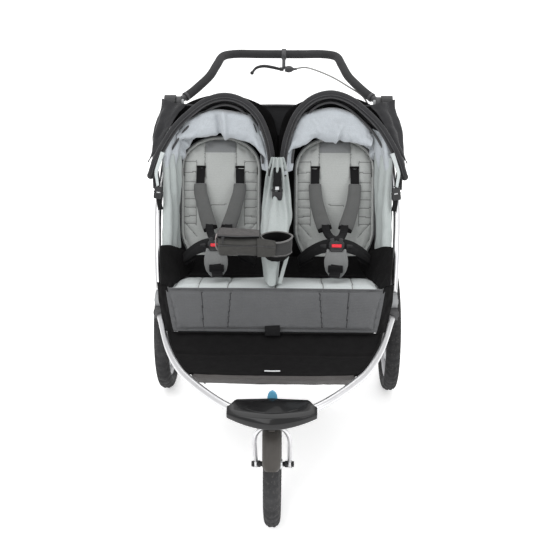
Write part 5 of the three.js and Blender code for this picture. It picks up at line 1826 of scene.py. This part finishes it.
def gussets():
    """The loose black cloth that joins each seat back to the frame."""
    edge = outline(0.012, 0.006)
    inner = [on_seat(u, v, -0.022) for u, v in edge]
    frame = curve([(0.002, 0.128, 0.466), (0.002, 0.190, 0.570), (0.002, 0.230, 0.650), (0.002, 0.262, 0.740),
                   (0.006, 0.300, 0.850),
                   (0.030, 0.306, 0.905), (0.090, 0.308, 0.938), (0.170, 0.308, 0.950), (0.255, 0.306, 0.930),
                   (0.312, 0.300, 0.888),
                   (0.3250, 0.262, 0.820), (0.3265, 0.200, 0.733), (0.3265, 0.145, 0.650), (0.3250, 0.090, 0.570),
                   (0.3130, 0.075, 0.466)], len(edge) - 1)
    mid = [a.lerp(b, 0.5) + Vector((0, 0.012, 0)) for a, b in zip(frame, inner)]

    def fold(u, v):
        return 0.0035 * math.sin(u * 30 + v * 3) * math.sin(math.pi * v) + 0.003 * ripple(u * 0.4, v * 0.1, 0, 26, 4.0)

    for name, a, b, flat, start, end in (
        ("seat_gusset_inner", 0, 43, (0.40, 0.060), (0.006, 0, 0), (0.044, 0, 0)),
        ("seat_gusset_top", 39, -39, (0.24, 0.125), (0, 0, 0.905), (0, 0, 0.825)),
        ("seat_gusset_outer", -43, None, (0.42, 0.060), (0.324, 0, 0), (0.288, 0, 0)),
    ):
        part = drape([line[a:b] for line in (frame, mid, inner)], 120, 24, fold, 0.0018)
        for side, sign in SIDES:
            made = piece(f"{name}_{side}", *(part if sign > 0 else flipped(part)), BLACK, None)
            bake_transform(made)


def rear_panel():
    """The cloth that is hung across the back between the shoulders, round their tubes."""
    rows = [
        [(-0.305, 0.303, 0.921), (-0.15, 0.312, 0.916), (0, 0.314, 0.918), (0.15, 0.312, 0.916), (0.305, 0.303, 0.921)],
        [(-0.309, 0.309, 0.905), (-0.15, 0.316, 0.897), (0, 0.317, 0.898), (0.15, 0.316, 0.897), (0.309, 0.309, 0.905)],
        [(-0.308, 0.309, 0.872), (-0.15, 0.313, 0.862), (0, 0.315, 0.862), (0.15, 0.313, 0.862), (0.308, 0.309, 0.872)],
        [(-0.306, 0.300, 0.815), (-0.15, 0.309, 0.806), (0, 0.312, 0.806), (0.15, 0.309, 0.806), (0.306, 0.300, 0.815)],
    ]

    def fold(u, v):
        return 0.0030 * ripple(u * 1.2, v * 0.2, 0, 12,
                               9.0) + 0.0014 * math.sin(u * 70) * math.exp(-min(u, 1 - u) / 0.07)

    made = piece("rear_cloth", *drape(rows, 160, 34, fold, 0.0026), HOOD, "upper_frame", "hood_fabric", ["rear_panel"])
    hems = [tube(rows[0], 0.0034, 160, 8), tube(rows[3], 0.0026, 160, 8)]
    piece("rear_cloth_hems", *merge(*hems), BINDING, "upper_frame", "hood_fabric")
    loops = []
    for s in (-1, 1):
        for z, y in ((0.868, 0.306), (0.826, 0.298)):
            loops.append(band([(s * 0.298, y + 0.004, z), (s * 0.312, y + 0.006, z),
                               (s * 0.3235, y - 0.004, z + 0.004)],
                              0.022, 0.0020, (0, 1, 0.1), 16))
    piece("rear_cloth_loops", *merge(*loops), WEB, "upper_frame", "black_mesh")


# ---------------------------------------------------------------- Hood buckles
def side_release(centre, wide, high, thick, way):
    """A side-release buckle: a frame over a socket, with two springs. way is the direction it looks."""
    c, w = Vector(centre), Vector(way).normalized()
    across = Vector((0, 0, 1)).cross(w).normalized()
    down = w.cross(across)

    def at(a, b, t):
        return c + across * (a * wide / 2) + down * (b * high / 2) + w * (t * thick / 2)

    parts = [hull([at(a, b, t) for a, b in ((-0.92, -1), (0.92, -1), (1.0, -0.70), (1.0, -0.1), (-1.0, -0.1),
                                            (-1.0, -0.70))
                   for t in (-1, 1)], 0.0014)]
    parts.append(hull([at(a, b, t) for a, b in ((-0.82, 0.95), (0.82, 0.95), (0.95, 0.45), (0.86, 0.1), (-0.86, 0.1),
                                                 (-0.95, 0.45)) for t in (-0.9, 0.9)], 0.0014))
    for s in (-1, 1):
        parts.append(hull([at(s * a, b, t) for a, b in ((0.55, -0.2), (1.12, -0.05), (1.12, 0.2), (0.55, 0.3))
                           for t in (-0.55, 0.55)], 0.0010))
    parts.append(hull([at(a, b, t) for a, b in ((-0.45, -0.95), (0.45, -0.95), (0.45, -0.25), (-0.45, -0.25))
                       for t in (1.0, 1.25)], 0.0008))
    return merge(*parts)


def hood_buckles():
    outer = side_release((0.3360, 0.1240, 0.7080), 0.026, 0.036, 0.0095, (0.45, -1, 0.25))
    clip = merge(
        block((0.3502, 0.1600, 0.7080), (0.3562, 0.1960, 0.7380), 0.0022, 3),
        hull([(x, y, z) for x in (0.3495, 0.3560) for y, z in ((0.160, 0.7370), (0.196, 0.7370), (0.186, 0.7500),
                                                             (0.168, 0.7500))], 0.0018),
    )
    pair("hood_clip_outer", merge(outer, clip), PLASTIC, "upper_frame", "black_plastic", ["canopy_clamp_@"])
    web = merge(
        band([(0.3450, 0.156, 0.760), (0.3420, 0.144, 0.744), (0.3370, 0.1260, 0.724)], 0.018, 0.002, (0.45, -1, 0.25),
             14),
        band([(0.3360, 0.1240, 0.692), (0.3345, 0.1225, 0.676), (0.3310, 0.1200, 0.658)], 0.016, 0.002,
             (0.45, -1, 0.25), 14),
    )
    pair("hood_clip_webbing", web, WEB, "upper_frame", "black_mesh")
    flash = band([(0.3240, 0.162, 0.815), (0.3340, 0.155, 0.788), (0.3430, 0.146, 0.760), (0.3400, 0.134, 0.742),
                  (0.3370, 0.1225, 0.728)],
                 0.0135, 0.0016, (0.5, -1, 0.2), 24, taper=lambda t: 1 - 0.35 * t)
    pair("hood_clip_strap", flash, PALE, "upper_frame", "seat_pale")
    centre = side_release((0.0, 0.1500, 0.7070), 0.029, 0.054, 0.011, (0, -1, 0.2))
    stub = merge(
        block((-0.0070, 0.1580, 0.690), (0.0070, 0.1955, 0.762), 0.0025, 3),
        hull([(x, y, z) for x in (-0.0145, 0.0145) for y, z in ((0.1445, 0.668), (0.1560, 0.668), (0.1440, 0.684),
                                                              (0.1560, 0.684))], 0.002),
    )
    piece("hood_clip_centre", *merge(centre, stub), PLASTIC, "upper_frame", "black_plastic", ["canopy_clamp_center"])
    loop = merge(
        band([(0, 0.163, 0.772), (0, 0.152, 0.752), (0, 0.1440, 0.735), (0, 0.1415, 0.722)], 0.022, 0.002, (0, -1, 0.3),
             20),
        band([(0, 0.1455, 0.682), (0, 0.1425, 0.662), (0.002, 0.1430, 0.640), (0.003, 0.139, 0.622)], 0.022, 0.002,
             (0, -1, 0.1), 20),
    )
    piece("hood_centre_webbing", *loop, WEB, "upper_frame", "black_mesh")
    # Painted highlight: a pale patch on the centre webbing where light glints off it.
    highlight_patch = band([(0, 0.1422, 0.7265), (0, 0.1412, 0.7185), (0, 0.1408, 0.7125)], 0.0105, 0.0014, (0, -1, 0.2), 8)
    piece("hood_centre_patch", *highlight_patch, REFLECTOR_AND_HIGHLIGHT, "upper_frame", "seat_pale")


camera()
stage()
frame_tubes()
wheels()
fork()
fender()
nose()
pedal()
handlebar()
cables()
seat_backs()
harness()
waist_and_crotch()
bench()
calf_panel()
footwell()
basket()
tray()
sides()
column()
hoods()
rear_panel()
shoulder_cloth()
centre_drop()
gussets()
hood_buckles()
